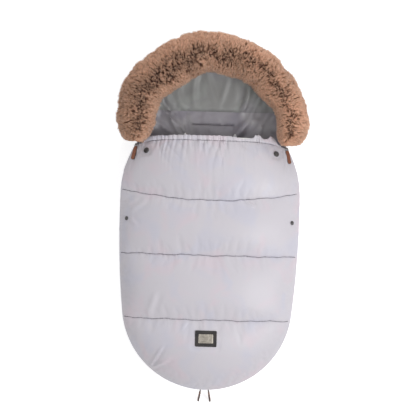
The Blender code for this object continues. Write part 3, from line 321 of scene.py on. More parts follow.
def pick(piece):
    """Makes a piece the only one that the operators work on."""
    bpy.ops.object.select_all(action="DESELECT")
    bpy.context.view_layer.objects.active = piece
    piece.select_set(True)


def apply_modifiers(piece):
    pick(piece)
    for modifier in list(piece.modifiers):
        bpy.ops.object.modifier_apply(modifier=modifier.name)
    return piece


def quads(rings, size, first=0):
    """The faces between rings of points that follow each other."""
    return [(first + i, first + j, first + size + j, first + size + i)
            for start in range(0, (rings - 1) * size, size)
            for i, j in ((start + k, start + (k + 1) % size) for k in range(size))]


def slab(top, under, faces):
    """A closed form between an upper and a lower surface of the same cut."""
    used = np.unique(faces)
    place = np.full(len(top), -1)
    place[used] = np.arange(len(used))
    upper = place[faces]
    count = len(used)
    edges = {}
    for f in upper:
        for a, b in ((f[0], f[1]), (f[1], f[2]), (f[2], f[0])):
            edges[(a, b)] = True
    rim = [(a, b) for a, b in edges if (b, a) not in edges]
    walls = [(a, a + count, b + count, b) for a, b in rim]
    all_faces = [tuple(f) for f in upper] + [tuple(f + count)[::-1] for f in upper] + walls
    return np.vstack([top[used], under[used]]), all_faces


def remap(tree, value, low, high, to_low, to_high):
    """A value's range drawn out to another range."""
    return add_node(tree, "ShaderNodeMapRange", _0=value, _1=low, _2=high, _3=to_low, _4=to_high).outputs[0]


def tint(tree, share, first, second, blend="MIX"):
    """Two colours mixed."""
    settings = {"data_type": "RGBA", "blend_type": blend}
    return add_node(tree, "ShaderNodeMix", settings, _0=share, _6=first, _7=second).outputs[2]


def mottle(tree, place, scale, detail, **values):
    return add_node(tree, "ShaderNodeTexNoise", Vector=place, Scale=scale, Detail=detail, **values).outputs


def bump(tree, height, strength, distance):
    return add_node(tree, "ShaderNodeBump", Height=height, Strength=strength, Distance=distance).outputs[0]


def woven_group():
    """The look of woven cloth: tinted patches, a fine weave and small creases, as one group."""
    group = bpy.data.node_groups.new("woven_cloth", "ShaderNodeTree")
    for way, kind, names in (("INPUT", "Color", ("Main", "Warm", "Cool")),
                             ("INPUT", "Float", ("Patch Scale", "Crease Scale", "Crease Share", "Roughness")),
                             ("OUTPUT", "Color", ("Color",)), ("OUTPUT", "Float", ("Roughness", "Height"))):
        for name in names:
            group.interface.new_socket(name, in_out=way, socket_type="NodeSocket" + kind)
    given = group.nodes.new("NodeGroupInput").outputs
    place = add_node(group, "ShaderNodeTexCoord").outputs["Object"]
    patches = mottle(group, place, given["Patch Scale"], 2.0, Roughness=0.5, Distortion=0.6)["Color"]
    red, green, blue = add_node(group, "ShaderNodeSeparateColor", Color=patches).outputs
    warmed = tint(group, remap(group, red, 0.50, 0.66, 0, 1), given["Main"], given["Warm"])
    cooled = tint(group, remap(group, green, 0.50, 0.66, 0, 1), warmed, given["Cool"])
    threads = [add_node(group, "ShaderNodeTexWave", {"wave_type": "BANDS", "bands_direction": direction},
                        Vector=place, Scale=420.0, Distortion=0.6, Detail=1.0).outputs["Fac"]
               for direction in "XY"]
    weave = reckon(group, "MAXIMUM", *threads)
    creases = mottle(group, place, given["Crease Scale"], 3.0, Roughness=0.55, Distortion=1.4)["Fac"]
    folded = reckon(group, "MULTIPLY", creases, given["Crease Share"])
    worn = remap(group, blue, 0.3, 0.7, -0.06, 0.08)
    plug(group, group.nodes.new("NodeGroupOutput"),
         Color=tint(group, 1.0, cooled, remap(group, weave, 0, 1, 0.95, 1.02), "MULTIPLY"),
         Roughness=reckon(group, "ADD", worn, given["Roughness"]),
         Height=reckon(group, "MULTIPLY_ADD", weave, 0.05, folded))
    return group


WOVEN = woven_group()


def colour(red, green, blue):
    """A colour as the eye sees it, from 0 to 255, as the light it sends back."""
    return tuple(c / 255 / 12.92 if c < 11 else ((c / 255 + 0.055) / 1.055) ** 2.4
                 for c in (red, green, blue)) + (1.0,)


def new_material(name):
    """A material with its node tree and its shader."""
    material = bpy.data.materials.new(name)
    material.use_nodes = True
    return material, material.node_tree, material.node_tree.nodes["Principled BSDF"]


def cloth_material(name, main, warm, cool, roughness, creases, patch=80.0, crease_scale=900, depth=0.2, sheen=0.0):
    """A woven cloth with its own tints; the scales are those of thread unless they are given."""
    material, tree, shader = new_material(name)
    look = add_node(tree, "ShaderNodeGroup", {"node_tree": WOVEN}, Main=colour(*main), Warm=colour(*warm),
                    Cool=colour(*cool), Patch_Scale=patch, Crease_Scale=crease_scale, Crease_Share=creases,
                    Roughness=roughness).outputs
    plug(tree, shader, Base_Color=look["Color"], Roughness=look["Roughness"],
         Normal=bump(tree, look["Height"], 0.5, depth * MM), Sheen_Weight=sheen, Sheen_Roughness=0.4)
    return material


def wall_point(run, y, share):
    """A point of the side wall: gathered under the zip, slack and creased below it."""
    top = float(edge_height(y))
    slack = 0.6 + 1.1 * smooth(*SLACK_FROM, y) * smooth(*SLACK_TO, y)
    gather = (abs(noise.noise((run / 8, share * 1.2, 3.1))) - 0.25) * math.exp(-share * 2.2) * (share > 0)
    crease = 0.18 - abs(noise.noise((run / 24 + share * 0.8, share * 1.6, 8.4)))
    wave = ROLL_HIGH + 0.9 * noise.noise((run / 45, share * 2, 5)) + CREASE_HIGH * slack * min(crease, 0.1)
    roll = math.sin(math.pi * share) * wave
    # Calmer and further in where the bottom sliders reach the end of their travel
    calm = 1 - 0.5 * float(smooth(*CALM_FROM, abs(run)) * smooth(*CALM_TO, abs(run)))
    point = walk(run, (GATHER_HIGH * gather - roll) * calm + CALM_INSET * (1 - calm))
    return point.x, point.y, top + (CORNER_R - top) * share


def corner_point(run, turn):
    """A point of the rounded corner between the wall and the bottom."""
    sag = SAG_HIGH * noise.noise((run / 26, turn * 2, 9)) * math.sin(2 * turn)
    point = walk(run, CORNER_R - (CORNER_R + sag) * math.cos(turn))
    return point.x, point.y, CORNER_R - CORNER_R * math.sin(turn)


shell_nylon = cloth_material("shell_nylon", (198, 194, 203), (206, 195, 205), (190, 194, 206), 0.5, 0.5,
                             patch=6.0, crease_scale=38, depth=1.0)
runs, edge_points = whole_loop(SHELL_STEP)
rings = [[wall_point(run, y, share) for run, (_, y) in zip(runs, edge_points)]
         for share in np.linspace(0, 1, WALL_RINGS)]
rings += [[corner_point(run, turn) for run in runs] for turn in np.linspace(0, math.pi / 2, CORNER_RINGS)[1:]]
wall_points = np.array([p for ring in rings for p in ring])
floor_loop = np.array(rings[-1])[:, :2]
plan, faces, _ = cut_cloth(floor_loop, [], SHELL_CUT, SLOTS, seed=8)
lift = sum(high * np.maximum(rumple(*plan.T, size, seed), 0) for high, size, seed in DENTS)
lift *= smooth(0, 12, nearest(plan, floor_loop))
points = np.vstack([wall_points, np.column_stack([plan, lift])])
all_faces = [face[::-1] for face in quads(len(rings), len(runs))] + list(faces[:, ::-1] + len(wall_points))
for zone, keep_above in (("back", False), ("hood", True)):
    piece = add_piece(zone + "_outer_shell", points, all_faces, shell_nylon)
    work = bmesh.new()
    work.from_mesh(piece.data)
    bmesh.ops.remove_doubles(work, verts=work.verts, dist=0.01 * MM)
    cut_y = HOOD_SEAM_Y + (SEAM_GAP if keep_above else -SEAM_GAP)
    bmesh.ops.bisect_plane(work, geom=work.verts[:] + work.edges[:] + work.faces[:], dist=0.001 * MM,
                           plane_co=(0, (cut_y - ROW_Y) * MM, 0), plane_no=(0, 1, 0),
                           clear_outer=not keep_above, clear_inner=keep_above)
    work.to_mesh(piece.data)
    work.free()
    wall = piece.modifiers.new("wall", "SOLIDIFY")
    wall.thickness, wall.offset = SHELL_THICK * MM, -1
    fix(apply_modifiers(piece), "back", zone + "_shell")

# The shell's topstitching: a row of thread just under the zip and one round each harness slot.
# A stitch is given by its length, its step and its half thickness.
SHELL_STITCH, SLOT_STITCH, SLOT_ROW_OUT, SLOT_ROW_WIDE = (3.2, 4.4, 0.42), (2.6, 3.6, 0.35), 8, 9
# A stitch's rings: share along it, width and how deep it dives into the cloth
STITCH_RINGS, STITCH_SIDES = ((0.0, 0.4, 1.0), (0.15, 0.9, 0.0), (0.85, 0.9, 0.0), (1.0, 0.4, 1.0)), 6
shell_thread = cloth_material("shell_thread", (172, 167, 178), (178, 170, 178), (164, 161, 172), 0.7, 0.3)


def unit(vectors):
    return vectors / np.linalg.norm(vectors, axis=-1, keepdims=True)


def path_lengths(path):
    """How far each point of a path lies from its start."""
    return np.concatenate([[0], np.cumsum(np.linalg.norm(np.diff(path, axis=0), axis=1))])


def tube(rings, size, first=0):
    """The faces of a tube through rings of points, with its ends closed."""
    last = first + (rings - 1) * size
    return quads(rings, size, first) + [tuple(range(first, first + size))[::-1], tuple(range(last, last + size))]


def joined(parts):
    """Several sets of points and faces as one."""
    points, faces = [], []
    for part_points, part_faces in parts:
        faces += [tuple(i + len(points) for i in face) for face in part_faces]
        points += part_points
    return points, faces


def stitched_row(line, into, long, step, thick):
    """Rounded stitches along points in space; their ends dive into the cloth."""
    into = np.broadcast_to(into, line.shape)
    lengths = path_lengths(line)
    points, faces = [], []

    def at(run, values):
        return np.array([np.interp(run, lengths, values[:, k]) for k in range(3)])

    for run in np.arange(step / 2, lengths[-1] - step / 2, step):
        start, stop, down = at(run - long / 2, line), at(run + long / 2, line), at(run, into)
        ahead = unit(stop - start)
        aside = unit(np.cross(ahead, down))
        rise = np.cross(aside, ahead)
        faces += tube(len(STITCH_RINGS), STITCH_SIDES, len(points))
        for share, wide, low in STITCH_RINGS:
            middle = start * (1 - share) + stop * share + down * low
            points += [tuple(middle + (aside * math.cos(a) + rise * math.sin(a)) * thick * wide)
                       for a in (2 * math.pi * turn / STITCH_SIDES for turn in range(STITCH_SIDES))]
    return points, faces


def face_outwards(piece):
    """Merges what touches and turns every face outwards."""
    work = bmesh.new()
    work.from_mesh(piece.data)
    bmesh.ops.remove_doubles(work, verts=work.verts, dist=0.002 * MM)
    bmesh.ops.recalc_face_normals(work, faces=work.faces)
    work.to_mesh(piece.data)
    work.free()
    return piece


def closed_piece(name, form, material, body, node=None, angle=60):
    """A closed piece from its points and faces, tied to its body."""
    piece = face_outwards(add_piece(name, *form, material, angle))
    fix(piece, body, node)
    return piece


row_ring = np.array(rings[1] + rings[1][:1])
inward = (0.0, 400.0, 30.0) - row_ring
inward[:, 2] = 0
inward = unit(inward)
parts = [stitched_row(row_ring - inward * 0.2, inward * 0.5, *SHELL_STITCH)]
for y, length in HARNESS_SLOTS:
    slot = slot_loop(y, length + SLOT_ROW_OUT, SLOT_ROW_WIDE)
    ring = np.vstack([slot, slot[:1]])
    parts.append(stitched_row(np.column_stack([ring, np.full(len(ring), -0.1)]), (0, 0, 0.6), *SLOT_STITCH))
closed_piece("shell_topstitching", joined(parts), shell_thread, "back")

# The lining of the back and of the hood: grey satin, sewn round the edge, across at the hood's
# seam and round the harness slots, and a little too large for the padding, so that it folds.
LINING_INSET, LINING_THICK, FLOOR_Z, ROLL, HOOD_SPREAD, LINING_FILL = 3.1, 1.2, 23.5, 11.0, 1.6, 0.3
LINING_CUT, LINING_EASE, LINING_PRESSURE, LINING_FRAMES = 6.5, (-0.010, -0.040), 3.0, 24
LOOSE_BY_SEAM, LOOSE_HOOD, LOOSE_FROM, LEAST_LIFT, MOST_LIFT = 30, 0.7, (640, 760), -3.0, 6.0


def bowl_height(x, y, depth):
    """The lining's height: rolled over the padded edge, then down to the floor."""
    edge = edge_height(y)
    reach = 45 * (1 + HOOD_SPREAD * smooth(RISE_START_Y, HOOD_Y, y))
    share = np.clip((depth - ROLL) / (reach - ROLL), 0, 1)
    return FLOOR_Z + (edge - FLOOR_Z) * (1 - share) ** 2.6


def hang_cloth(name, start, faces, pinned, loose, ease, pressure, frames):
    """Lets a cut of cloth settle between its seams, with too much cloth where it is loose."""
    mesh = bpy.data.meshes.new(name)
    mesh.from_pydata([tuple(p) for p in start * MM], [], [tuple(int(i) for i in f) for f in faces])
    work = show(name, mesh)
    pin = work.vertex_groups.new(name="pin")
    pin.add([int(i) for i in np.nonzero(pinned)[0]], 1.0, "REPLACE")
    fullness = work.vertex_groups.new(name="loose")
    for index, share in enumerate(loose):
        fullness.add([index], float(share), "REPLACE")
    cloth = work.modifiers.new("cloth", "CLOTH")
    s = cloth.settings
    s.quality, s.mass = 5, 0.001
    s.tension_stiffness, s.compression_stiffness, s.shear_stiffness, s.bending_stiffness = 12, 6, 3, 0.05
    s.tension_damping = s.compression_damping = s.shear_damping = 2
    s.bending_damping, s.air_damping = 0.2, 3
    s.use_pressure, s.uniform_pressure_force = True, pressure
    s.effector_weights.gravity = 0
    s.vertex_group_mass, s.pin_stiffness = "pin", 1
    s.vertex_group_shrink, s.shrink_min, s.shrink_max = "loose", *ease
    cloth.collision_settings.use_collision = False
    scene.frame_start, scene.frame_end = 1, frames + 4
    for step in range(1, frames + 1):
        scene.frame_set(step)
    graph = bpy.context.evaluated_depsgraph_get()
    settled = bpy.data.meshes.new_from_object(work.evaluated_get(graph))
    places = np.empty(len(settled.vertices) * 3)
    settled.vertices.foreach_get("co", places)
    bpy.data.objects.remove(work)
    return places.reshape(-1, 3) / MM


lining_loop = whole_loop(5.0, LINING_INSET)[1]
seam_half = math.sqrt((HOOD_R - LINING_INSET) ** 2 - (HOOD_SEAM_Y - HOOD_Y) ** 2)
hood_seam = np.array([(x, HOOD_SEAM_Y) for x in np.linspace(-seam_half, seam_half, 90)])[1:-1]
plan, faces, kind = cut_cloth(lining_loop, [hood_seam], LINING_CUT, SLOTS, seed=6)
x, y = plan.T
depth = nearest(plan, whole_loop(1.5)[1])
slots_away, seam_away = nearest(plan, np.vstack(SLOTS)), nearest(plan, hood_seam)
base = bowl_height(x, y, depth)
start = np.column_stack([plan, base + 0.5 * rumple(x, y, 26, 1.0) * smooth(0, 15, depth)])
loose = np.exp(-(np.minimum(seam_away, slots_away) / LOOSE_BY_SEAM) ** 2) + LOOSE_HOOD * smooth(*LOOSE_FROM, y)
lining = hang_cloth("lining", start, faces, kind >= 1, np.clip(loose, 0, 1), LINING_EASE, LINING_PRESSURE,
                    LINING_FRAMES)
lift = np.clip(lining[:, 2] - base, LEAST_LIFT, np.minimum(0.9 * np.maximum(depth - 8, 0) - 1.0, MOST_LIFT))
# Folds of the loose lining: from, to, half width and height
FOLDS = (((-160, 752), (-118, 706), 7, 4.5), ((-146, 790), (-84, 722), 6, 6.0), ((-128, 766), (-80, 700), 5, 4.5),
         ((-88, 756), (-74, 704), 5, 4.5), ((-66, 760), (-34, 706), 9, 2.0), ((-98, 832), (-78, 782), 9, 4.0),
         ((-46, 872), (-52, 786), 8, 4.5), ((-12, 874), (2, 790), 9, 3.5), ((34, 868), (24, 784), 7, 3.5),
         ((66, 858), (56, 800), 8, 3.0), ((100, 852), (78, 752), 10, 10.0), ((136, 822), (66, 706), 11, 8.5),
         ((164, 786), (128, 712), 9, 5.0), ((120, 752), (62, 694), 7, 3.0), ((-20, 756), (20, 700), 12, 1.5))


def ridges(x, y, lines, starts, ends, furrow, beside, sway=0.0):
    """The height that lines add to cloth: a ridge, tapered at both ends, and a furrow beside it."""
    total = np.zeros_like(x)
    for (ax, ay), (bx, by), wide, high in lines:
        dx, dy = bx - ax, by - ay
        share = ((x - ax) * dx + (y - ay) * dy) / (dx * dx + dy * dy)
        off = ((x - ax) * dy - (y - ay) * dx) / math.hypot(dx, dy) + sway * np.sin(share * 3.3 + ax * 1.7)
        taper = smooth(*starts, share) * smooth(*ends, share)
        hollow = furrow * np.exp(-((off + wide * beside) / wide) ** 2)
        total += high * taper * (np.exp(-(off / wide) ** 2) - hollow)
    return total


folded = ridges(lining[:, 0], lining[:, 1], FOLDS, (-0.25, 0.2), (1.25, 0.7), 0.6, 1.7, 5) * smooth(2, 16, depth)
aside = np.abs(x)
groove = 1.6 * np.exp(-(slots_away / 3.5) ** 2) + 0.5 * np.exp(-(seam_away / 3.0) ** 2) * smooth(105, 60, aside)
groove -= (1.0 + 1.2 * smooth(60, 110, aside)) * np.exp(-(seam_away / 6) ** 2) * smooth(4, 20, depth)
lining_top = np.column_stack([lining[:, :2], base + lift + folded - groove])
lining_under = lining_top - (0, 0, LINING_THICK)
grey_lining = cloth_material("grey_lining", (140, 140, 139), (131, 129, 133), (150, 152, 150), 0.42, 0.55,
                             patch=11.0, crease_scale=30, depth=1.2)
lilac_lining = cloth_material("lilac_grey_lining", (149, 145, 152), (156, 153, 157), (139, 135, 144), 0.42, 0.55,
                              patch=11.0, crease_scale=30, depth=1.2)
in_hood = plan[faces].mean(1)[:, 1] > HOOD_SEAM_Y
for zone, part, finish in (("back", ~in_hood, lilac_lining), ("hood", in_hood, grey_lining)):
    piece = add_piece(zone + "_lining_cloth", *slab(lining_top, lining_under, faces[part]), finish, 75)
    fix(piece, "back", zone + "_lining")

# The padding between shell and lining: white polyester wadding, cut to the same outline
# and held by the slots' stitching.
WADDING_FILL, PAD_DROP, PAD_LEAST, PAD_LOWEST = 0.6, 18.2, 2.0, 2.2
wadding = cloth_material("white_wadding", (232, 231, 228), (238, 236, 230), (222, 222, 221), 0.95, 0.9,
                         patch=60.0, crease_scale=240, depth=1.5, sheen=0.2)
wall_share = np.clip((CORNER_R - depth) / (CORNER_R - LINING_INSET), 0, 1)
pad_low = CORNER_R - PAD_DROP * np.sqrt(1 - wall_share ** 2)
pad_top = lining_top - (0, 0, LINING_THICK + 0.3)
pad_under = np.column_stack([plan, np.minimum(np.maximum(pad_low, PAD_LOWEST), pad_top[:, 2] - PAD_LEAST)])
for zone, part in (("back", ~in_hood), ("hood", in_hood)):
    piece = add_piece(zone + "_wadding", *slab(pad_top, pad_under, faces[part]), wadding, 60)
    fix(piece, "back", zone + "_padding")

# The zips: a woven tape and a coil of loops on each half, sewn between shell and lining on
# the back and under the panels' edge on the cover; the cover's half is split at the fold.
COIL_INSET, COIL_THICK, COIL_PITCH, TAPE_THICK = 2.3, 1.2, 2.4, 1.0
BACK_COIL_Z, COVER_COIL_Z = (42.9, 45.1), (46.9, 49.1)
BACK_TAPE_Z, COVER_TAPE_Z = (31.0, 42.6), (49.4, 53.2)
FOLD_Y, MIDDLE_SEAM_Y, FOOT_SEAM_Y, HEM_Y = 687 * 0.763, 687 * 0.544, 687 * 0.287, 687.0
FOLD_SAG, HEM_DROP, FOLD_GAP = 26.0, 17.0, 0.15
SLIDER_RUN, SLIDER_LONG, SHORT_OF_END = 11, 9, 5
TOOTH = [(u, v, w) for u in (-0.42, 0.42)
         for v, w in ((-1.25, -0.6), (-0.8, -1.05), (0.8, -1.05), (1.25, -0.6),
                      (1.25, 0.6), (0.8, 1.05), (-0.8, 1.05), (-1.25, 0.6))]
zip_tape = cloth_material("zip_tape", (188, 184, 193), (192, 186, 193), (180, 180, 188), 0.8, 0.2,
                          patch=40.0, crease_scale=500, depth=0.4)
zip_coil, tree, shader = new_material("zip_coil")
wear = mottle(tree, add_node(tree, "ShaderNodeTexCoord").outputs["Object"], 160.0, 3.0)["Fac"]
plug(tree, shader, Base_Color=tint(tree, wear, colour(150, 147, 154), colour(186, 183, 190)),
     Roughness=remap(tree, wear, 0, 1, 0.3, 0.5), Normal=bump(tree, wear, 0.2, 0.0002))


def run_at(y):
    """The run where the right side reaches a height above the foot."""
    low, high = 0.0, OUTLINE_RUN
    for _ in range(40):
        middle = (low + high) / 2
        low, high = (middle, high) if walk(middle).y < y else (low, middle)
    return low


def sweep(runs, section):
    """A closed strip that follows the outline, from a section of insets and heights."""
    points = [(*walk(run, inset), z) for run in runs for inset, z in section]
    return points, tube(len(runs), len(section))


def strip_section(inset, thick, low, high):
    """The section of a woven strip with softly rounded edges."""
    half, soft = thick / 2, min(thick, high - low) * 0.3
    wide, narrow = half, half - soft
    return [(inset - narrow, low), (inset + narrow, low), (inset + wide, low + soft),
            (inset + wide, high - soft), (inset + narrow, high), (inset - narrow, high),
            (inset - wide, high - soft), (inset - wide, low + soft)]


def runs_of(start, stop, step=4.0):
    return np.linspace(start, stop, max(2, round(abs(stop - start) / step) + 1))


fold_run = run_at(FOLD_Y + FOLD_SAG)
ZIP_HALVES = (("back", SLIDER_RUN - SLIDER_LONG / 4, ZIP_RUN, BACK_TAPE_Z, BACK_COIL_Z),
              ("cover", SLIDER_RUN + SLIDER_LONG, fold_run - FOLD_GAP, COVER_TAPE_Z, COVER_COIL_Z),
              ("flap", fold_run + FOLD_GAP, ZIP_RUN - SHORT_OF_END, COVER_TAPE_Z, COVER_COIL_Z))
for side, word in ((1, "right"), (-1, "left")):
    for body, start, stop, tape_z, coil_z in ZIP_HALVES:
        half_zip = f"{word}_zip_{body}_"
        strip = sweep(runs_of(start, stop) * side, strip_section(COIL_INSET, TAPE_THICK, *tape_z))
        closed_piece(half_zip + "woven_tape", strip, zip_tape, body, half_zip + "tape")
        middle, half = sum(coil_z) / 2, COIL_THICK / 2
        points, coil_faces = sweep(runs_of(start, stop) * side,
                                   strip_section(COIL_INSET, COIL_THICK, middle - half, middle + half))
        for run in np.arange(start + 1, stop - 0.8, COIL_PITCH):
            coil_faces += tube(2, 8, len(points))
            points += [(*walk((run + u + 0.15 * v) * side, COIL_INSET + v), middle + w) for u, v, w in TOOTH]
        closed_piece(half_zip + "coil_loops", (points, coil_faces), zip_coil, body,
                     half_zip + "coil", angle=40)
for node, low, high, body in (("foot_bridge_lower", 31.0, 45.7, "back"),
                              ("foot_bridge_upper", 46.3, 53.2, "cover")):
    strip = sweep(runs_of(-3.0, 3.0, 1.0), strip_section(COIL_INSET, TAPE_THICK, low, high))
    closed_piece(node + "_cloth", strip, zip_tape, body, node)

# The quilted cover: satin nylon over wadding, sewn through along three crosswise seams, so that
# each channel puffs up and the cloth puckers at its seams. The first seam is the flap's fold.
COVER_EDGE_Z, COVER_RISE, COVER_THICK, SEAM_THICK, COVER_SIDE = 53.5, 71.0, 18.0, 4.5, 10.0
PUCKER_REACH, HEM_REACH, PUFF_POWER, PANEL_FILL, LEAST_THICK = 22.0, 26.0, 0.48, 0.7, 1.8
COVER_CUT, COVER_EASE, COVER_PRESSURE, COVER_FRAMES, PLEATS = 6.0, (-0.010, -0.085), 12.0, 26, 400
HEM_PITCH, BROAD_PITCH, SEAM_PITCH, PLEAT_LIFT, BROAD_LIFT, SEAM_SINK = 13.5, 31.0, 9.5, 7.8, 10.0, 1.6
SHORT_PLEAT, LONG_PLEAT, LOW_PLEAT, DEEPEST_VALLEY = 13, 58, 0.35, 1.8


def edge_depth(x, y):
    """How far a plan point lies inside the cover's outline."""
    x = np.abs(x)
    angle = np.arctan2(y - SIDE_C.y, x - SIDE_C.x)
    foot = FOOT_R - np.hypot(x, y - FOOT_R)
    shoulder = SHOULDER_R - np.hypot(x - SHOULDER_C.x, y - SHOULDER_C.y)
    side = SIDE_R - np.hypot(x - SIDE_C.x, y - SIDE_C.y)
    return np.where(angle < -SIDE_LEAN, foot, np.where(angle > SHOULDER_LEAN, shoulder, side))


def half_width(y):
    y = np.asarray(y, float)
    foot = np.sqrt(np.maximum(FOOT_R ** 2 - (y - FOOT_R) ** 2, 0))
    side = SIDE_C.x + np.sqrt(np.maximum(SIDE_R ** 2 - (y - SIDE_C.y) ** 2, 0))
    shoulder = SHOULDER_C.x + np.sqrt(np.maximum(SHOULDER_R ** 2 - (y - SHOULDER_C.y) ** 2, 0))
    return np.where(y < side_start.y, foot, np.where(y < SHOULDER_Y, side, shoulder))


def dome(x, y, inset=0.0):
    """The cover's height as a share of its rise."""
    reach = FOOT_R - inset
    depth = np.clip(edge_depth(x, y) - inset, 0, reach)
    angle = np.arctan2(y - SIDE_C.y, np.abs(x) - SIDE_C.x)
    roundness = 1.5 - 0.5 * smooth(-SHOULDER_LEAN, SHOULDER_LEAN, angle)
    return (1 - (1 - depth / reach) ** 2.5) ** (1 / roundness)


def wander(x, seam):
    """How far a sewn line strays from its mark."""
    return 0.9 * np.sin(x / 21 + seam * 2.1) + 0.8 * np.sin(x / 9.3 + seam * 4.7) + 0.4 * np.sin(x / 4.1 + seam)


def fold_line(share):
    return FOLD_Y + FOLD_SAG * share ** 2


def hem_line(share):
    return HEM_Y - HEM_DROP * share ** 6


def seam_lines(x, y):
    """How high the foot seam, the middle seam, the fold and the hem lie at plan points."""
    share = np.clip(np.abs(x) / np.maximum(half_width(y), 1), 0, 1)
    return (FOOT_SEAM_Y + wander(x, 3), MIDDLE_SEAM_Y + wander(x, 2), fold_line(share) + wander(x, 1),
            hem_line(share))


def fullness(x, y):
    """How full the quilting is, from 0 on a seam to 1 in a channel's middle."""
    foot, middle, fold, hem = seam_lines(x, y)

    def puff(share):
        return np.sin(np.pi * np.clip(share, 0, 1)) ** PUFF_POWER

    share = np.clip(y / foot, 0, 1)
    found = np.where(share > 0.5, puff(share), 1.0)
    for low, high in ((foot, middle), (middle, fold), (fold, hem)):
        found = np.where((y >= low) & (y < high), puff((y - low) / (high - low)), found)
    return np.where(y >= hem, 0.0, found)


def outer_height(x, y, full):
    return COVER_EDGE_Z + (COVER_RISE - (COVER_THICK - SEAM_THICK) * (1 - full)) * dome(x, y)


def inner_height(x, y, layer):
    return COVER_EDGE_Z + (COVER_RISE - COVER_THICK - layer) * dome(x, y, COVER_SIDE + layer)


def across_line(line, count, seam=0):
    """Points along a crosswise seam, from the left edge to the right."""
    found = []
    for share in np.linspace(-1, 1, count):
        y = line(abs(share))
        x = float(half_width(y)) * share
        found.append((x, y + (float(wander(x, seam)) if seam else 0)))
    return np.array(found)


hem_run = run_at(hem_line(1.0))
side_right = np.array([walk(run) for run in runs_of(0, hem_run, 4.6)])
hem_points = across_line(hem_line, 92)
cover_loop = np.vstack([side_right, hem_points[::-1][1:-1], (side_right * (-1, 1))[::-1][:-1]])
quilt_seams = [across_line(fold_line, 101, 1)[1:-1], across_line(lambda s: MIDDLE_SEAM_Y, 101, 2)[1:-1],
               across_line(lambda s: FOOT_SEAM_Y, 97, 3)[1:-1]]
plan, faces, kind = cut_cloth(cover_loop, quilt_seams, COVER_CUT)
x, y = plan.T
full = fullness(x, y)
start = np.column_stack([plan, outer_height(x, y, np.where(kind >= 1, full, full * 0.75))])
near_seam, near_hem = nearest(plan, np.vstack(quilt_seams + [hem_points])), nearest(plan, hem_points)
loose = np.maximum(0.5 * np.exp(-(near_seam / PUCKER_REACH) ** 2), np.exp(-(near_hem / HEM_REACH) ** 2))
cover_top = hang_cloth("cover", start, faces, kind >= 1, loose, COVER_EASE, COVER_PRESSURE, COVER_FRAMES)
satin_nylon = cloth_material("satin_nylon", (204, 200, 207), (208, 198, 206), (200, 198, 209), 0.45, 0.35,
                             patch=13.0, crease_scale=26, depth=0.8, sheen=0.15)
# Creases of the outer cloth: from, to, half width and height
CREASES = (((-123, 110), (-151, 64), 4.5, 4.6), ((-111, 79), (-153, 55), 4.5, 4.4),
           ((-142, 258), (-160, 208), 9, 2.8), ((99, 525), (120, 511), 4, 3.0), ((-180, 517), (-217, 487), 8, 1.7),
           ((-199, 524), (-226, 508), 7, 1.2), ((-222, 472), (-196, 448), 6, 1.2), ((-52, 192), (-66, 172), 4, 1.0),
           ((-100, 84), (-126, 62), 6, 2.0))


def edge_pairs(faces):
    return np.vstack([faces[:, [0, 1]], faces[:, [1, 2]], faces[:, [2, 0]]])


# The hung cloth is cut finer, each triangle in four, and its grain evened out
coarse = plan, faces, near_seam
edges, owner = np.unique(np.sort(edge_pairs(faces), axis=1), axis=0, return_inverse=True)
ab, bc, ca = owner.reshape(3, -1) + len(plan)
a, b, c = faces.T
faces = np.vstack([np.column_stack(corners) for corners in ((a, ab, ca), (ab, b, bc), (ca, bc, c), (ab, bc, ca))])
plan = np.vstack([plan, plan[edges].mean(1)])
cover_top = np.vstack([cover_top, cover_top[edges].mean(1)])
kind = np.concatenate([kind, np.minimum(*kind[edges].T)])
x, y = plan.T
depth = edge_depth(x, y)
near_seam, near_hem = nearest(plan, np.vstack(quilt_seams + [hem_points])), nearest(plan, hem_points)
pairs = edge_pairs(faces)
for _ in range(2):
    total, share = np.zeros((len(plan), 3)), np.zeros(len(plan))
    np.add.at(total, pairs[:, 0], cover_top[pairs[:, 1]])
    np.add.at(share, pairs[:, 0], 1)
    relaxed = total / np.maximum(share, 1)[:, None]
    cover_top = np.where((kind == 0)[:, None], cover_top * 0.4 + relaxed * 0.6, cover_top)
pleat_rng = np.random.default_rng(5)
PLEAT_REACH = pleat_rng.uniform(SHORT_PLEAT, LONG_PLEAT, PLEATS)
PLEAT_HIGH = pleat_rng.uniform(LOW_PLEAT, 1.0, PLEATS)


def pleat(x, y, pitch, seed):
    """Gathered cloth: 1 on a pleat's back and 0 in the valley beside it; also the pleat's number."""
    phase = x / pitch + 2.4 * soft_noise(x / pitch / 3.1, y / 170, seed) + 100
    return np.abs(np.sin(math.pi * phase)) ** 0.6, np.floor(phase).astype(int) % PLEATS


def gathers(x, y, away):
    """How far the pleats lift the cloth at a distance from the hem, with valleys no deeper than it is thick."""
    back, number = pleat(x, y, HEM_PITCH, 3.0)
    broad, wide_number = pleat(x, y, BROAD_PITCH, 21.0)
    lift = PLEAT_LIFT * PLEAT_HIGH[number] ** 1.4 * (back - 0.6) * np.exp(-(away / PLEAT_REACH[number]) ** 1.5)
    fading = np.exp(-(away / (PLEAT_REACH[wide_number] + 12)) ** 2)
    lift += BROAD_LIFT * PLEAT_HIGH[wide_number] ** 2 * (broad - 0.6) * fading
    deepest = DEEPEST_VALLEY + 0.25 * np.minimum(away, 25)
    return np.where(lift < 0, -deepest * np.tanh(-lift / deepest), lift)


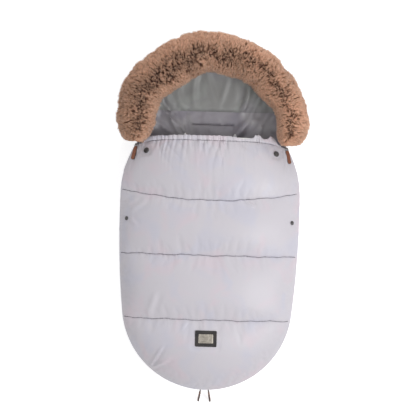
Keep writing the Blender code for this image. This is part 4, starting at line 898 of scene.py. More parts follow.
cover_top[:, 2] += gathers(x, y, near_hem)
seams = np.array(seam_lines(x, y)[:3])
upper = y > np.choose(np.argmin(np.abs(seams - y), axis=0), seams)
for above, depth_at_seam in ((False, 2.3), (True, 1.5)):
    back, number = pleat(x, y, SEAM_PITCH, 8.0 + 5 * above)
    strength = depth_at_seam * PLEAT_HIGH[number] ** 3 * (1 - back)
    reach = PLEAT_REACH[number - 7] * 0.42
    cover_top[:, 2] -= (upper == above) * strength * np.exp(-(near_seam / reach) ** 1.6) * smooth(0, 3, near_seam)
creased = ridges(x, y, CREASES, (-0.5, 0.2), (1.2, 0.8), 0.8, 1.5)
cover_top[:, 2] += creased * smooth(0, 12, depth) * smooth(0, 4, near_seam)
for line in seams:
    above = np.where((y > line) & (kind == 0), y - line, 0)
    cover_top[:, 1] -= 2.0 * above / 5 * np.exp(1 - above / 5) * smooth(0, 25, depth)
cover_top[:, 2] -= SEAM_SINK * np.exp(-(nearest(plan, np.vstack(quilt_seams)) / 2.6) ** 2) * smooth(0, 15, depth)
least = np.where(depth > 18, inner_height(x, y, 0.0) + LEAST_THICK, -np.inf)
cover_top[:, 2] = np.maximum(cover_top[:, 2], least)
# The cloth is pressed flat where the studs and the label sit
SOCKET_Y, STUD_Y, LABEL_Y = HEM_Y - 31, FOLD_Y - 56, FOOT_SEAM_Y * 0.745
SOCKET_X, STUD_X = float(half_width(SOCKET_Y)) - 41, float(half_width(STUD_Y)) - 21
seat_height = outer_height(x, y, fullness(x, y))
for seat_x, seat_y, wide, long in ((SOCKET_X, SOCKET_Y, 4, 4), (STUD_X, STUD_Y, 2, 2), (0, LABEL_Y, 30, 22.5)):
    away = np.hypot(np.maximum(np.abs(np.abs(x) - seat_x) - wide, 0), np.maximum(np.abs(y - seat_y) - long, 0))
    press = smooth(16, 4, away)
    dimple = 1.1 * np.exp(-((away - 7) / 5) ** 2) * (seat_x > 0)
    cover_top[:, 2] += (np.minimum(cover_top[:, 2], seat_height + 0.2) - cover_top[:, 2]) * press - dimple


def inner_layer(plan, near_seam, layer, creased=0.0):
    """The same cut drawn in under the panels, at a depth below their inner face."""
    x, y = plan.T
    depth, step = np.clip(edge_depth(x, y), 0, 250), 0.5
    slope_x = (edge_depth(x + step, y) - edge_depth(x - step, y)) / (2 * step)
    slope_y = (edge_depth(x, y + step) - edge_depth(x, y - step)) / (2 * step)
    pull = (COVER_SIDE + layer) * (1 - depth / 250)
    shifted_x, shifted_y = x + slope_x * pull, y + slope_y * pull
    z = inner_height(shifted_x, shifted_y, layer)
    if creased:
        z = z - creased * np.maximum(rumple(x, y, 24, 12.0), 0) * smooth(0, 30, depth) * smooth(0, 14, near_seam)
    return np.column_stack([shifted_x, shifted_y, z])


raised = 0.8 + 2.6 * smooth(15, 45, depth) * smooth(3, 14, near_seam)
panel_under = inner_layer(plan, near_seam, -raised)
middles = plan[faces].mean(1)
panel_of = 4 - sum((middles[:, 1] >= line).astype(int) for line in seam_lines(*middles.T)[:3])
for number in (4, 3, 2, 1):
    form = slab(cover_top, panel_under, faces[panel_of == number])
    piece = add_piece(f"quilted_panel_{number}", *form, satin_nylon, 75)
    fix(piece, "fold" if number <= 2 else "cover", f"cover_panel_{number}")

# The quilting thread: a plain stitch along each seam, sunk between the channels. The fold's
# own thread is tied to no body; its place is baked into its points.
QUILT_STITCH = (3.6, 4.2, 1.05)
# The thread's dark grey is partly its own colour and partly painted shade, darkened to draw the seams' shaded line
thread_with_painted_seam_shade = cloth_material("thread_with_painted_seam_shade", (80, 76, 87), (88, 82, 90), (72, 70, 81), 0.8, 0.3)
for seam, line in zip(("fold", "middle", "foot"), quilt_seams):
    z = outer_height(*line.T, 0.0) + 0.45 - SEAM_SINK * smooth(0, 15, edge_depth(*line.T))
    row = stitched_row(np.column_stack([line, z]), (0, 0, -0.5), *QUILT_STITCH)
    closed_piece(seam + "_seam_thread", row, thread_with_painted_seam_shade, "fold" if seam == "fold" else "cover")

# The cover's and the flap's own lining: the same grey satin as in the hood, seen when the cover
# is open. Both are tied to no body; their places are baked into their points.
for name, in_flap, cut in (("cover_lining", False, coarse), ("flap_lining", True, (plan, faces, near_seam))):
    cut_plan, cut_faces, seam_away = cut
    middles = cut_plan[cut_faces].mean(1)
    part = (middles[:, 1] >= seam_lines(*middles.T)[2]) == in_flap
    outer, inner = inner_layer(cut_plan, seam_away, 0.3), inner_layer(cut_plan, seam_away, 1.5, 2.0)
    piece = add_piece(name + "_cloth", *slab(outer, inner, cut_faces[part]), grey_lining, 75)
    fix(piece, "fold", name)

# The hem: a tunnel of the same satin along the flap's top, drawn up into small gathers by the
# elastic that runs through it.
TUNNEL_HIGH, TUNNEL_END, TUNNEL_RINGS, TUNNEL_SIDES, HEM_STITCH = 14.0, 0.925, 420, 20, (2.6, 8.6, 0.55)
ELASTIC_END, ELASTIC_RINGS, ELASTIC_RISE, THREAD_LOOPS = 0.86, 240, 7, ((-74.0, 1.2), (64.0, -1.0))
LOOP_RINGS, LOOP_WIDE, LOOP_LONG, LOOP_RISE, LOOP_THICK = 15, 2.6, 6.5, 1.5, 0.7
ELASTIC_SECTION = [(-4.0, -0.4), (-3.6, -0.6), (3.6, -0.6), (4.0, -0.4),
                   (4.0, 0.4), (3.6, 0.6), (-3.6, 0.6), (-4.0, 0.4)]
# Where the edge stands up or slumps: share across, height and width
STAND_UP = ((0.595, 6.0, 0.018), (0.64, 7.0, 0.04), (0.71, -3.0, 0.03), (0.79, 6.0, 0.02), (0.82, 5.0, 0.03),
            (0.88, -3.0, 0.02), (0.45, -7.0, 0.11), (-0.35, 2.0, 0.02), (0.1, 1.6, 0.02), (-0.62, -2.0, 0.05))


def tunnel_ring(share):
    """The tunnel's section at a share across the cover."""
    low_y = hem_line(share) + 0.15
    x = float(half_width(low_y)) * share
    top, base = float(outer_height(x, low_y, 0.0)), float(inner_height(x, low_y, 0.0))
    stand = sum(high * math.exp(-((share - at) / wide) ** 2) for at, high, wide in STAND_UP)
    (back,), (number,) = pleat(np.array([x]), np.array([low_y]), HEM_PITCH, 3.0)
    (broad,), (wide_number,) = pleat(np.array([x]), np.array([low_y]), BROAD_PITCH, 21.0)
    fine, stray = noise.noise((x / 4.2, 2.0, 0)), noise.noise((x / 6.0, 9.0, 0))
    puffed = PLEAT_HIGH[number] ** 1.2 * (back - 0.7) * 4.6 + 1.1 * fine
    puffed += PLEAT_HIGH[wide_number] ** 2 * (broad - 0.7) * 5.0
    half = TUNNEL_HIGH / 2 * (1 - 0.8 * float(smooth(0.84, TUNNEL_END, abs(share))))
    reach = stand + 1.5 * (back - 0.5) + 0.8 * fine
    ring = []
    for turn in np.linspace(0, 2 * math.pi, TUNNEL_SIDES + 1)[:-1]:
        cy, cz = math.cos(turn), math.sin(turn)
        edge = max(cy, 0.0)
        high = max((top - base) / 2 * 1.1 + puffed * (1.0 if cz > 0 else 0.4) * (0.5 + 0.5 * abs(cz)), 1.4)
        flat = math.copysign(abs(cy) ** 0.8, cy) * half * (1 + 0.10 * fine)
        tall = math.copysign(abs(cz) ** 0.85, cz) * high
        ring.append((x + 1.2 * stray * edge, low_y + half + flat + reach * edge,
                     (top + base) / 2 + tall + 0.45 * max(stand, 0) * edge * (cz > 0)))
    return ring


rings = [tunnel_ring(share) for share in np.linspace(-TUNNEL_END, TUNNEL_END, TUNNEL_RINGS)]
points = [p for ring in rings for p in ring]
tunnel_faces = quads(len(rings), TUNNEL_SIDES)
for end in (0, len(points) - TUNNEL_SIDES):
    tunnel_faces += [(len(rings) * TUNNEL_SIDES + (end > 0), end + i, end + (i + 1) % TUNNEL_SIDES)
                     for i in range(TUNNEL_SIDES)]
points += [tuple(np.mean(rings[end], 0)) for end in (0, -1)]
closed_piece("gathered_hem", (points, tunnel_faces), satin_nylon, "flap", "hem_tunnel", angle=75)
points = []
for share in np.linspace(-ELASTIC_END, ELASTIC_END, ELASTIC_RINGS):
    y = hem_line(share)
    x = float(half_width(y)) * share
    z = (float(outer_height(x, y, 0.0)) + float(inner_height(x, y, 0.0))) / 2 + 0.5 * math.sin(x / 1.6)
    points += [(x, y + ELASTIC_RISE + v, z + w) for v, w in ELASTIC_SECTION]
white_elastic = cloth_material("white_elastic", (228, 228, 226), (234, 232, 228), (216, 217, 218), 0.8, 0.4,
                               patch=90.0, crease_scale=600, depth=0.4)
closed_piece("ribbed_elastic", (points, tube(ELASTIC_RINGS, len(ELASTIC_SECTION))), white_elastic, "flap",
             "hem_elastic", angle=50)
# The tunnel's stitching, and two small loops of thread that the hem is hung by
hem_row = across_line(hem_line, 200)[12:-12]
z = outer_height(*hem_row.T, 0.0) + 0.3 + gathers(*hem_row.T, np.zeros(len(hem_row)))
row = stitched_row(np.column_stack([hem_row, z]), (0, 0, -0.6), *HEM_STITCH)
# The tunnel's stitches take the same dark thread, partly painted shade
closed_piece("hem_stitching", row, thread_with_painted_seam_shade, "flap")
parts = []
for middle_x, lean in THREAD_LOOPS:
    high_y = hem_line(middle_x / float(half_width(HEM_Y))) + TUNNEL_HIGH - 1.5
    z = float(outer_height(middle_x, high_y, 0.0)) - 0.5
    points = []
    for turn in (math.pi * step / (LOOP_RINGS - 1) for step in range(LOOP_RINGS)):
        ct, st = math.cos(turn), math.sin(turn)
        centre = Vector((middle_x + LOOP_WIDE * ct + lean * st, high_y + LOOP_LONG * st, z + LOOP_RISE * st))
        points += [tuple(centre + LOOP_THICK * Vector((ct * math.cos(a), st * math.cos(a), math.sin(a))))
                   for a in (math.pi * i / 3 for i in range(6))]
    parts.append((points, tube(LOOP_RINGS, 6)))
closed_piece("hem_thread_loops", joined(parts), white_elastic, "flap")

# The fur trim: a knitted backing strip sewn to the hood's edge, rolled over a soft core, with
# a curly pile that clumps into locks and parts along the roll's top.
ARCH_WIDE, ARCH_HIGH, FUR_UP, CORE_SIDES, CORE_FILL = 208.0, 194.0, 39.0, 24, 0.8
FUR_Z = 59.8 + FUR_UP
STRANDS, FUR_PIECES, PILE_DEPTH, PILE_LENGTH, LOCKS = 112000, 7, 15.0, 18.0, 10500
END_REACH, TAB_CLEAR_Y = 73.0, walk(ZIP_RUN, 3.9).y + 8
STRAND_LOW, STRAND_MIDDLE, LOCK_SPREAD, LOCK_BEND, STRAND_BEND = 0.52, 0.46, 0.17, 0.09, 0.05
POLE_TURN, UNDER_TURN, STRAP_ROOM = math.radians(86), math.radians(55), (-16, -9, 48, 38)
# How far the pile reaches outwards and inwards, by the turn in degrees from the right end
OUT_REACH = ((0, 61), (12, 57), (25, 50.5), (39, 46), (60, 47.5), (72, 44.5), (84, 48.5), (96, 53), (108, 54),
             (120, 50.5), (132, 50.5), (144, 57.5), (156, 62), (168, 60), (180, 57.5))
IN_REACH = ((0, 36), (12, 42), (24, 62), (36, 65), (48, 67), (60, 69), (72, 73), (84, 70), (97, 68), (108, 75),
            (120, 80), (132, 80), (144, 75), (156, 62), (168, 60), (180, 57))
# How dark the parting's painted shade is and how marked the parting is, by the same turn
PARTING = ((0, 0.1), (14, 0.2), (25, 0.9), (33, 0.3), (50, 0.05), (66, 0.3), (76, 0.9), (88, 0.5), (96, 0.7),
           (110, 1.0), (165, 1.0), (180, 0.5))
# Where the parting runs, as a share of the reach: outwards above nought, inwards below it
PARTING_SIDE = ((0, 0), (50, 0.05), (66, -0.1), (72, -0.25), (84, -0.25), (96, -0.12), (108, -0.3), (120, -0.42),
                (132, -0.5), (144, -0.45), (153, -0.2), (161, 0.05), (180, 0.0))
knit_backing = cloth_material("knit_backing", (104, 76, 58), (112, 82, 64), (92, 66, 50), 0.9, 0.6,
                              patch=60.0, crease_scale=400, depth=0.6)
arch_start = run_at(HOOD_Y)
strip_runs = np.concatenate([runs_of(arch_start, OUTLINE_RUN), runs_of(-OUTLINE_RUN, -arch_start)[1:]])
strip = sweep(strip_runs, [(-4.0, 58.3), (14.0, 58.3), (14.0, 59.5), (-4.0, 59.5)])
closed_piece("fur_knit_strip", strip, knit_backing, "back", "fur_backing_strip", angle=40)


def arch_frame(turn):
    """The roll's middle and its outward direction in plan, at a turn from the right end."""
    held = np.clip(turn, 0, math.pi)
    middle = np.column_stack([ARCH_WIDE * np.cos(held), HOOD_Y + ARCH_HIGH * np.sin(held)])
    return middle, unit(np.column_stack([np.cos(held) / ARCH_WIDE, np.sin(held) / ARCH_HIGH]))


# The pile's colour follows each strand from root to tip, by the V of its own UV map, and U shades it with the
# strand's tone and with painted light and shade
brown_fur, tree, shader = new_material("brown_fur")
strand_map = add_node(tree, "ShaderNodeUVMap", {"uv_map": "OFBake"}).outputs[0]
strand_shading, strand_height, _ = add_node(tree, "ShaderNodeSeparateXYZ", Vector=strand_map).outputs
height_tone = add_node(tree, "ShaderNodeValToRGB", Fac=strand_height)
ramp = height_tone.color_ramp
ramp.elements[0].color, ramp.elements[1].color = colour(130, 89, 66), colour(246, 207, 180)
for at, tone in ((0.35, colour(184, 139, 111)), (0.7, colour(228, 182, 152))):
    ramp.elements.new(at).color = tone
shade = remap(tree, strand_shading, 0, 1, 0.66, 1.28)
plug(tree, shader, Base_Color=tint(tree, 1.0, height_tone.outputs["Color"], shade, "MULTIPLY"),
     Roughness=remap(tree, strand_height, 0, 1, 0.8, 0.55), Sheen_Weight=0.15)


def reach_of(table, turn):
    return np.interp(np.degrees(turn), *zip(*table))


def roll_point(turn, end, angle, pile):
    """Points on the roll: turn along the arch, end round its tip, angle round its section, pile above the core."""
    middle, out = arch_frame(turn)
    out = np.column_stack([out, np.zeros(len(out))])
    ca, sa, held = np.cos(angle), np.sin(angle), np.cos(end) ** np.where(turn < 1.57, 0.62, 0.85)
    wide = np.where(ca > 0, reach_of(OUT_REACH, turn), reach_of(IN_REACH, turn)) - PILE_DEPTH + pile
    tall = FUR_UP - 10 + pile * 10 / PILE_DEPTH
    centre = np.column_stack([middle, np.full(len(middle), FUR_Z)])
    centre[:, 1] -= (END_REACH - PILE_DEPTH + pile) * np.sin(end)
    place = centre + out * (ca * wide * held)[:, None]
    place[:, 2] += sa * tall * held
    normal = out * (ca / wide)[:, None]
    normal[:, 2] += sa / tall
    normal /= np.linalg.norm(normal, axis=1)[:, None]
    normal = normal * held[:, None]
    normal[:, 1] -= np.sin(end)
    return place, normal, out


stations = [(0.0, e) for e in np.radians(np.linspace(80, 8, 9))] + [(t, 0.0) for t in np.linspace(0, math.pi, 70)]
stations += [(math.pi, e) for e in np.radians(np.linspace(8, 80, 9))]
around = np.linspace(0, 2 * math.pi, CORE_SIDES + 1)[:-1]
points = []
for turn, end in stations:
    points += [tuple(p) for p in roll_point(np.full(CORE_SIDES, turn), np.full(CORE_SIDES, end), around, 0.0)[0]]
closed_piece("fur_core", (points, tube(len(stations), CORE_SIDES)), knit_backing, "back", "fur_trim")

rng = np.random.default_rng(11)
arch_length = math.pi * math.sqrt((ARCH_WIDE ** 2 + ARCH_HIGH ** 2) / 2)
place = rng.uniform(-END_REACH, arch_length + END_REACH, STRANDS)
turn = np.clip(place / arch_length * math.pi, 0, math.pi)
beyond = np.where(place < 0, -place, np.where(place > arch_length, place - arch_length, 0))
end = np.clip(beyond / END_REACH, 0, 1) * POLE_TURN
angle = rng.uniform(-UNDER_TURN, math.pi + UNDER_TURN, STRANDS)
root, normal, out = roll_point(turn, end, angle, -1.0)
ca, sa = np.cos(angle), np.sin(angle)
parting = 0.5 * (soft_noise(place / 55, 1.5, 0) + 0.5 * soft_noise(place / 17, 4.5, 0))
parting += reach_of(PARTING_SIDE, turn)
side_of = np.tanh((ca - parting) / 0.32)
combed = out * (sa * side_of)[:, None] - (0.0, 0.0, 1.0) * (ca * side_of)[:, None]
# Strands belong to the lock whose first strand is nearest
lock_ids = rng.choice(STRANDS, LOCKS, replace=False)
tree_of_locks = KDTree(LOCKS)
for index, strand in enumerate(lock_ids):
    tree_of_locks.insert(root[strand], index)
tree_of_locks.balance()
lock = np.array([tree_of_locks.find(p)[1] for p in root])
marked = reach_of(PARTING, turn) * smooth(-0.25, 0.2, soft_noise(root[:, 0] / 22, root[:, 1] / 22, 6.0) + 0.15)
near_parting = np.exp(-((ca - parting) / 0.42) ** 2) * (sa > 0) * marked
lock_lean = rng.normal(0, LOCK_SPREAD, (LOCKS, 3))
swirl = np.stack([soft_noise(root[:, 0] / 28, root[:, 1] / 28, seed) for seed in (2.0, 14.0, 31.0)], 1)
lock_long = rng.normal(1.0, 0.04, LOCKS)
heading = normal * (0.60 + 0.30 * near_parting)[:, None] + combed * (0.66 - 0.15 * near_parting)[:, None]
heading += lock_lean[lock] * (0.65 + 0.7 * near_parting)[:, None] + 0.5 * swirl + rng.normal(0, 0.07, (STRANDS, 3))
long = PILE_LENGTH * lock_long[lock] * rng.uniform(0.8, 1.03, STRANDS) * (1 - 0.25 * near_parting)
tip = root + unit(heading) * long[:, None]
tip += (tip[lock_ids][lock] - tip) * (0.20 + 0.12 * near_parting)[:, None]
# The pile is brushed back where the lifted top tabs stand
tab_side = np.abs(tip[:, 0]) - walk(ZIP_RUN, 3.9).x
tab_side = smooth(*STRAP_ROOM[:2], tab_side) * smooth(*STRAP_ROOM[2:], tab_side)
tip[:, 1] += np.clip(TAB_CLEAR_Y - tip[:, 1], 0, 30) * tab_side * smooth(120, 104, tip[:, 2])
bend = rng.normal(0, LOCK_BEND, (LOCKS, 3))[lock] + rng.normal(0, STRAND_BEND, (STRANDS, 3))
bend *= long[:, None]
halfway = root + (tip - root) * 0.55 + (bend + normal * (0.10 * long)[:, None])
ahead = unit(tip - root)
side_a = unit(np.cross(ahead, rng.normal(0, 1, (STRANDS, 3))))
side_b = np.cross(ahead, side_a)
thickness = rng.uniform(0.8, 1.25, STRANDS)
lock_shade = rng.normal(0, 0.065, LOCKS)[lock]
corners = [level + (side_a * math.cos(a) + side_b * math.sin(a)) * (width * thickness)[:, None]
           for level, width in ((root, STRAND_LOW), (halfway, STRAND_MIDDLE))
           for a in (2 * math.pi * third / 3 for third in range(3))]
corners = np.stack(corners + [tip], 1)
strand_faces = []
for a, b in ((0, 1), (1, 2), (2, 0)):
    strand_faces += [(a, b, b + 3), (a, b + 3, a + 3), (3 + a, 3 + b, 6)]
strand_faces = np.array(strand_faces + [(2, 1, 0)])
# Painted light in the strands' tone: lighter on the outer side of the arch's top, towards the right end, and where
# the parting is faint (closed); painted shade darkens the strands along the parting
far_side_painted_light = smooth(-0.3, 0.7, ca) * smooth(0.5, 1.2, turn) * smooth(3.0, 2.1, turn)
closed = np.exp(-((ca - parting) / 0.5) ** 2) * (sa > 0) * (1 - reach_of(PARTING, turn))
strand_tone_and_painted_light = 0.56 + lock_shade + rng.normal(0, 0.06, STRANDS) + 0.16 * soft_noise(*(root / 45).T)
strand_tone_and_painted_light += 0.40 * far_side_painted_light + 0.24 * smooth(0.9, 0.3, turn) + 0.2 * closed - 0.36 * near_parting
strand_tone_and_painted_light = np.clip(strand_tone_and_painted_light, 0.03, 0.97)
corner_v = np.array([0.0, 0.0, 0.0, 0.55, 0.55, 0.55, 1.0])
corner_u = np.array([-1.0, 0.0, 1.0, -1.0, 0.0, 1.0, 0.0]) * 0.006
for number, members in enumerate(np.array_split(np.argsort(place), FUR_PIECES), 1):
    count = len(members)
    mesh = bpy.data.meshes.new(f"fur_pile_{number}")
    vertices = (corners[members].reshape(-1, 3) - (0, ROW_Y, 0)) * MM
    triangles = (strand_faces[None] + (np.arange(count) * 7)[:, None, None]).reshape(-1, 3)
    mesh.vertices.add(len(vertices))
    mesh.vertices.foreach_set("co", vertices.astype(np.float32).ravel())
    mesh.loops.add(len(triangles) * 3)
    mesh.loops.foreach_set("vertex_index", triangles.astype(np.int32).ravel())
    mesh.polygons.add(len(triangles))
    mesh.polygons.foreach_set("loop_start", np.arange(0, len(triangles) * 3, 3, dtype=np.int32))
    mesh.update(calc_edges=True)
    layer = mesh.uv_layers.new(name="OFBake")
    local = np.tile(strand_faces.ravel(), count)
    owner = np.repeat(members, strand_faces.size)
    spread = np.stack([strand_tone_and_painted_light[owner] + corner_u[local], corner_v[local]], 1)
    layer.data.foreach_set("uv", spread.astype(np.float32).ravel())
    mesh.shade_smooth()
    mesh.materials.append(brown_fur)
    fix(show(f"fur_pile_{number}", mesh), "back", "fur_trim")

# The press studs: gunmetal sockets on the flap and studs on the cover, turned from brass, pressed
# through the cloth and held on the inside by a rounded cap.
SOCKET_RINGS = ((8.0, 0.0), (8.0, 1.1), (7.6, 1.8), (6.8, 2.2), (4.6, 2.2), (4.2, 1.9), (3.5, 1.9), (3.3, 0.8),
                (1.6, 0.8), (1.2, 1.1))
STUD_RINGS = ((5.8, 0.0), (5.8, 0.6), (5.2, 1.25), (2.7, 1.4), (2.3, 1.6), (2.2, 2.4), (2.45, 3.0), (2.2, 3.4),
              (1.4, 3.6))
CAP_RINGS = ((6.5, 0.0), (6.5, 0.4), (6.1, 0.9), (5.4, 1.3), (3.0, 2.0), (1.0, 2.2))
CAP_INWARDS, SEAT_LIFT = 6.5, 0.8


def speckled_finish(name, dark, light, rough, metallic, scale, depth, edge=None):
    """A metal or leather with a fine grain; edge is the colour of its painted rim."""
    material, tree, shader = new_material(name)
    place = add_node(tree, "ShaderNodeTexCoord").outputs["Object"]
    grain = mottle(tree, place, scale, 5.0, Roughness=0.65)["Fac"]
    mixed = reckon(tree, "MULTIPLY_ADD", mottle(tree, place, scale * 0.12, 2.0)["Fac"], 0.6, grain)
    result = tint(tree, remap(tree, mixed, 0.6, 1.0, 0, 1), colour(*dark), colour(*light))
    if edge:
        rim = add_node(tree, "ShaderNodeAttribute", {"attribute_name": "rim"}).outputs["Fac"]
        result = tint(tree, rim, result, colour(*edge))
    plug(tree, shader, Base_Color=result, Roughness=remap(tree, mixed, 0.5, 1.1, *rough),
         Normal=bump(tree, grain, 0.4, depth * MM), Metallic=metallic)
    return material


gunmetal = speckled_finish("gunmetal_snap", (66, 65, 66), (112, 110, 110), (0.34, 0.5), 1.0, 500, 0.08)


def bevelled(piece, width, segments=2, angle=35):
    """Rounds the hard edges of a fitting and shades it smooth."""
    rounder = piece.modifiers.new("rounder", "BEVEL")
    rounder.width, rounder.segments = width * MM, segments
    rounder.limit_method, rounder.angle_limit = "ANGLE", math.radians(angle)
    apply_modifiers(piece)
    piece.data.shade_smooth()
    piece.data.set_sharp_from_angle(angle=math.radians(50))
    return piece


def turned_piece(name, rings, material):
    """A turned fitting, drawn up ring by ring from a disc."""
    bpy.ops.object.select_all(action="DESELECT")
    bpy.ops.mesh.primitive_circle_add(vertices=40, radius=rings[0][0] * MM, fill_type="NGON")
    piece = bpy.context.object
    piece.name = piece.data.name = name
    bpy.ops.object.mode_set(mode="EDIT")
    bpy.ops.mesh.select_mode(type="FACE")
    bpy.ops.mesh.select_all(action="SELECT")
    radius, level = rings[0]
    for wide, high in rings[1:]:
        bpy.ops.mesh.extrude_region_move(TRANSFORM_OT_translate={"value": (0, 0, (high - level) * MM)})
        bpy.ops.transform.resize(value=(wide / radius, wide / radius, 1), center_override=(0, 0, high * MM))
        radius, level = wide, high
    bpy.ops.mesh.select_all(action="SELECT")
    bpy.ops.mesh.normals_make_consistent(inside=False)
    bpy.ops.object.mode_set(mode="OBJECT")
    piece.data.materials.append(material)
    return bevelled(piece, 0.15)


def seat(height, x, y, up):
    """Where a fitting sits on the cloth, its Z along the cloth's normal, times up."""
    slope_x = float(height(x + 0.5, y) - height(x - 0.5, y))
    slope_y = float(height(x, y + 0.5) - height(x, y - 0.5))
    normal = Vector((-slope_x, -slope_y, 1)).normalized()
    turn = (normal * up).to_track_quat("Z", "Y").to_matrix().to_4x4()
    place = Vector((x, y - ROW_Y, float(height(x, y)))) + normal * up * SEAT_LIFT
    return Matrix.Translation(place * MM) @ turn


def fit_pair(piece, name, node, body):
    """Names a right-hand piece, makes its left twin, and fixes both to their bodies."""
    piece.name = piece.data.name = "right_" + name
    twin = show("left_" + name, piece.data.copy())
    twin.data.transform(Matrix.Scale(-1, 4, (1, 0, 0)))
    twin.data.flip_normals()
    for side, made in (("right_", piece), ("left_", twin)):
        fix(made, body.replace("SIDE_", side), side + node if node else None)


def cover_face(x, y):
    return outer_height(x, y, fullness(x, y))


def lining_face(x, y):
    return inner_height(x, y, 1.5)


for name, rings, x, y, face, up, node, body in (
        ("socket_ring", SOCKET_RINGS, SOCKET_X, SOCKET_Y, cover_face, 1, "flap_socket", "flap"),
        ("socket_inner_cap", CAP_RINGS, SOCKET_X - CAP_INWARDS, SOCKET_Y, lining_face, -1, "flap_cap", "flap"),
        ("stud_post", STUD_RINGS, STUD_X, STUD_Y, cover_face, 1, "cover_stud", "cover"),
        ("stud_inner_cap", CAP_RINGS, STUD_X - CAP_INWARDS, STUD_Y, lining_face, -1, "cover_stud_cap", "cover")):
    piece = turned_piece(name, rings, gunmetal)
    piece.data.transform(seat(face, x, y, up))
    fit_pair(piece, name, node, body)

# The sliders and the zips' stops: cast metal, with the CAD's own forms and their edges rounded.
# Each is a merged copy of its CAD node.
pull_metal = speckled_finish("pull_metal", (112, 109, 106), (168, 164, 158), (0.26, 0.42), 1.0, 600, 0.08)
for node, name, body, width in (("zip_top_stop", "top_stop_clip", "flap", 0.25),
                                ("zip_bottom_stop", "bottom_stop_clip", "back", 0.25),
                                ("top_slider", "top_slider_body", "SIDE_top_slider", 0.15),
                                ("bottom_slider", "bottom_slider_body", "SIDE_bottom_slider", 0.15)):
    piece = show(name, nodes["right_" + node].data.copy())
    piece.data.materials.clear()
    piece.data.materials.append(pull_metal)
    pick(piece)
    bpy.ops.object.mode_set(mode="EDIT")
    bpy.ops.mesh.select_all(action="SELECT")
    bpy.ops.mesh.remove_doubles(threshold=0.00001)
    bpy.ops.mesh.dissolve_limited(angle_limit=math.radians(4))
    bpy.ops.object.mode_set(mode="OBJECT")
    fit_pair(bevelled(piece, width), name, node, body)

# The pulls: a ring of bent wire through each slider's lug, and a strap of brown leather folded
# round it, glued, painted dark along its cut edge and stitched round with waxed thread.
ZIP_Z, WIRE, RING_LONG, RING_HALF, RING_CORNER = 46.0, 0.75, 9.0, 5.5, 1.5
TAB_LONG, TAB_WIDE, TAB_THICK, TAB_TIP, TAB_NEAR_CORNER = 36.0, 12.0, 4.0, 5.0, 2.6
PIN_INSET, SLIDER_DROP, SLIDER_OUT, TAB_CLEARANCE = 3.9, 9, 7.5, 0.3 + 1.6 + 0.5
FOLD_RADIUS, STITCH_ASIDE, STITCH_TURN, STRAP_STITCH = 2.65, 4.6, 3.6, (2.0, 2.9, 0.32)
leather = speckled_finish("brown_leather", (104, 56, 36), (150, 92, 64), (0.42, 0.62), 0.0, 420, 0.25,
                          edge=(58, 42, 36))
waxed_thread = speckled_finish("waxed_thread", (120, 84, 60), (162, 122, 92), (0.5, 0.7), 0.0, 900, 0.1)


def pull_place(place, along, across):
    """Local X towards the strap's tip, Y along the pin."""
    turn = Matrix((along, across, along.cross(across))).transposed().to_4x4()
    return Matrix.Translation((place - Vector((0, ROW_Y, 0))) * MM) @ turn


heading = Vector((math.sin(math.radians(6)), -math.cos(math.radians(6))))
pin = walk(ZIP_RUN - 0.5, PIN_INSET)
middle = pin + heading * (RING_LONG + TAB_LONG) / 2
slopes = [float(outer_height(middle.x + dx, middle.y + dy, 1.0) - outer_height(middle.x - dx, middle.y - dy, 1.0))
          for dx, dy in ((0.5, 0), (0, 0.5))]
normal = Vector((-slopes[0], -slopes[1], 1)).normalized()
flat = Vector((heading.x, heading.y, 0))
along = (flat - normal * flat.dot(normal)).normalized()
drop = (normal.x * (middle.x - pin.x) + normal.y * (middle.y - pin.y)) / normal.z
pin_place = Vector((pin.x, pin.y, float(outer_height(middle.x, middle.y, 1.0)) + drop))
top_place = pull_place(pin_place + normal * (WIRE + TAB_CLEARANCE), along, normal.cross(along))
turned = -math.pi / 2 + SLIDER_RUN / FOOT_R
outward, up = Vector((math.cos(turned), math.sin(turned), 0)), Vector((0, 0, 1))
droop, across = (outward - up).normalized(), (outward + up).normalized()
lean = math.radians(5)
along = (droop * math.cos(lean) + across.cross(droop) * math.sin(lean)).normalized()
start = walk(SLIDER_RUN, COIL_INSET)
bottom_place = pull_place(Vector((start.x, start.y, ZIP_Z - SLIDER_DROP)) + outward * SLIDER_OUT, along, across)


def local_piece(name, points, faces, material, place, smooth_angle=60):
    """A piece from points in its own frame, set at its place."""
    piece = face_outwards(add_piece(name, np.asarray(points) + (0, ROW_Y, 0), faces, material, smooth_angle))
    piece.data.transform(place)
    return piece


def strap_rim(u, a):
    """The distance from the strap's cut edge."""
    if u > RING_LONG + TAB_LONG - TAB_TIP and abs(a) > 1:
        return TAB_TIP - math.hypot(u - RING_LONG - TAB_LONG + TAB_TIP, abs(a) - 1)
    return min(TAB_WIDE / 2 - abs(a), RING_LONG + TAB_LONG - u)


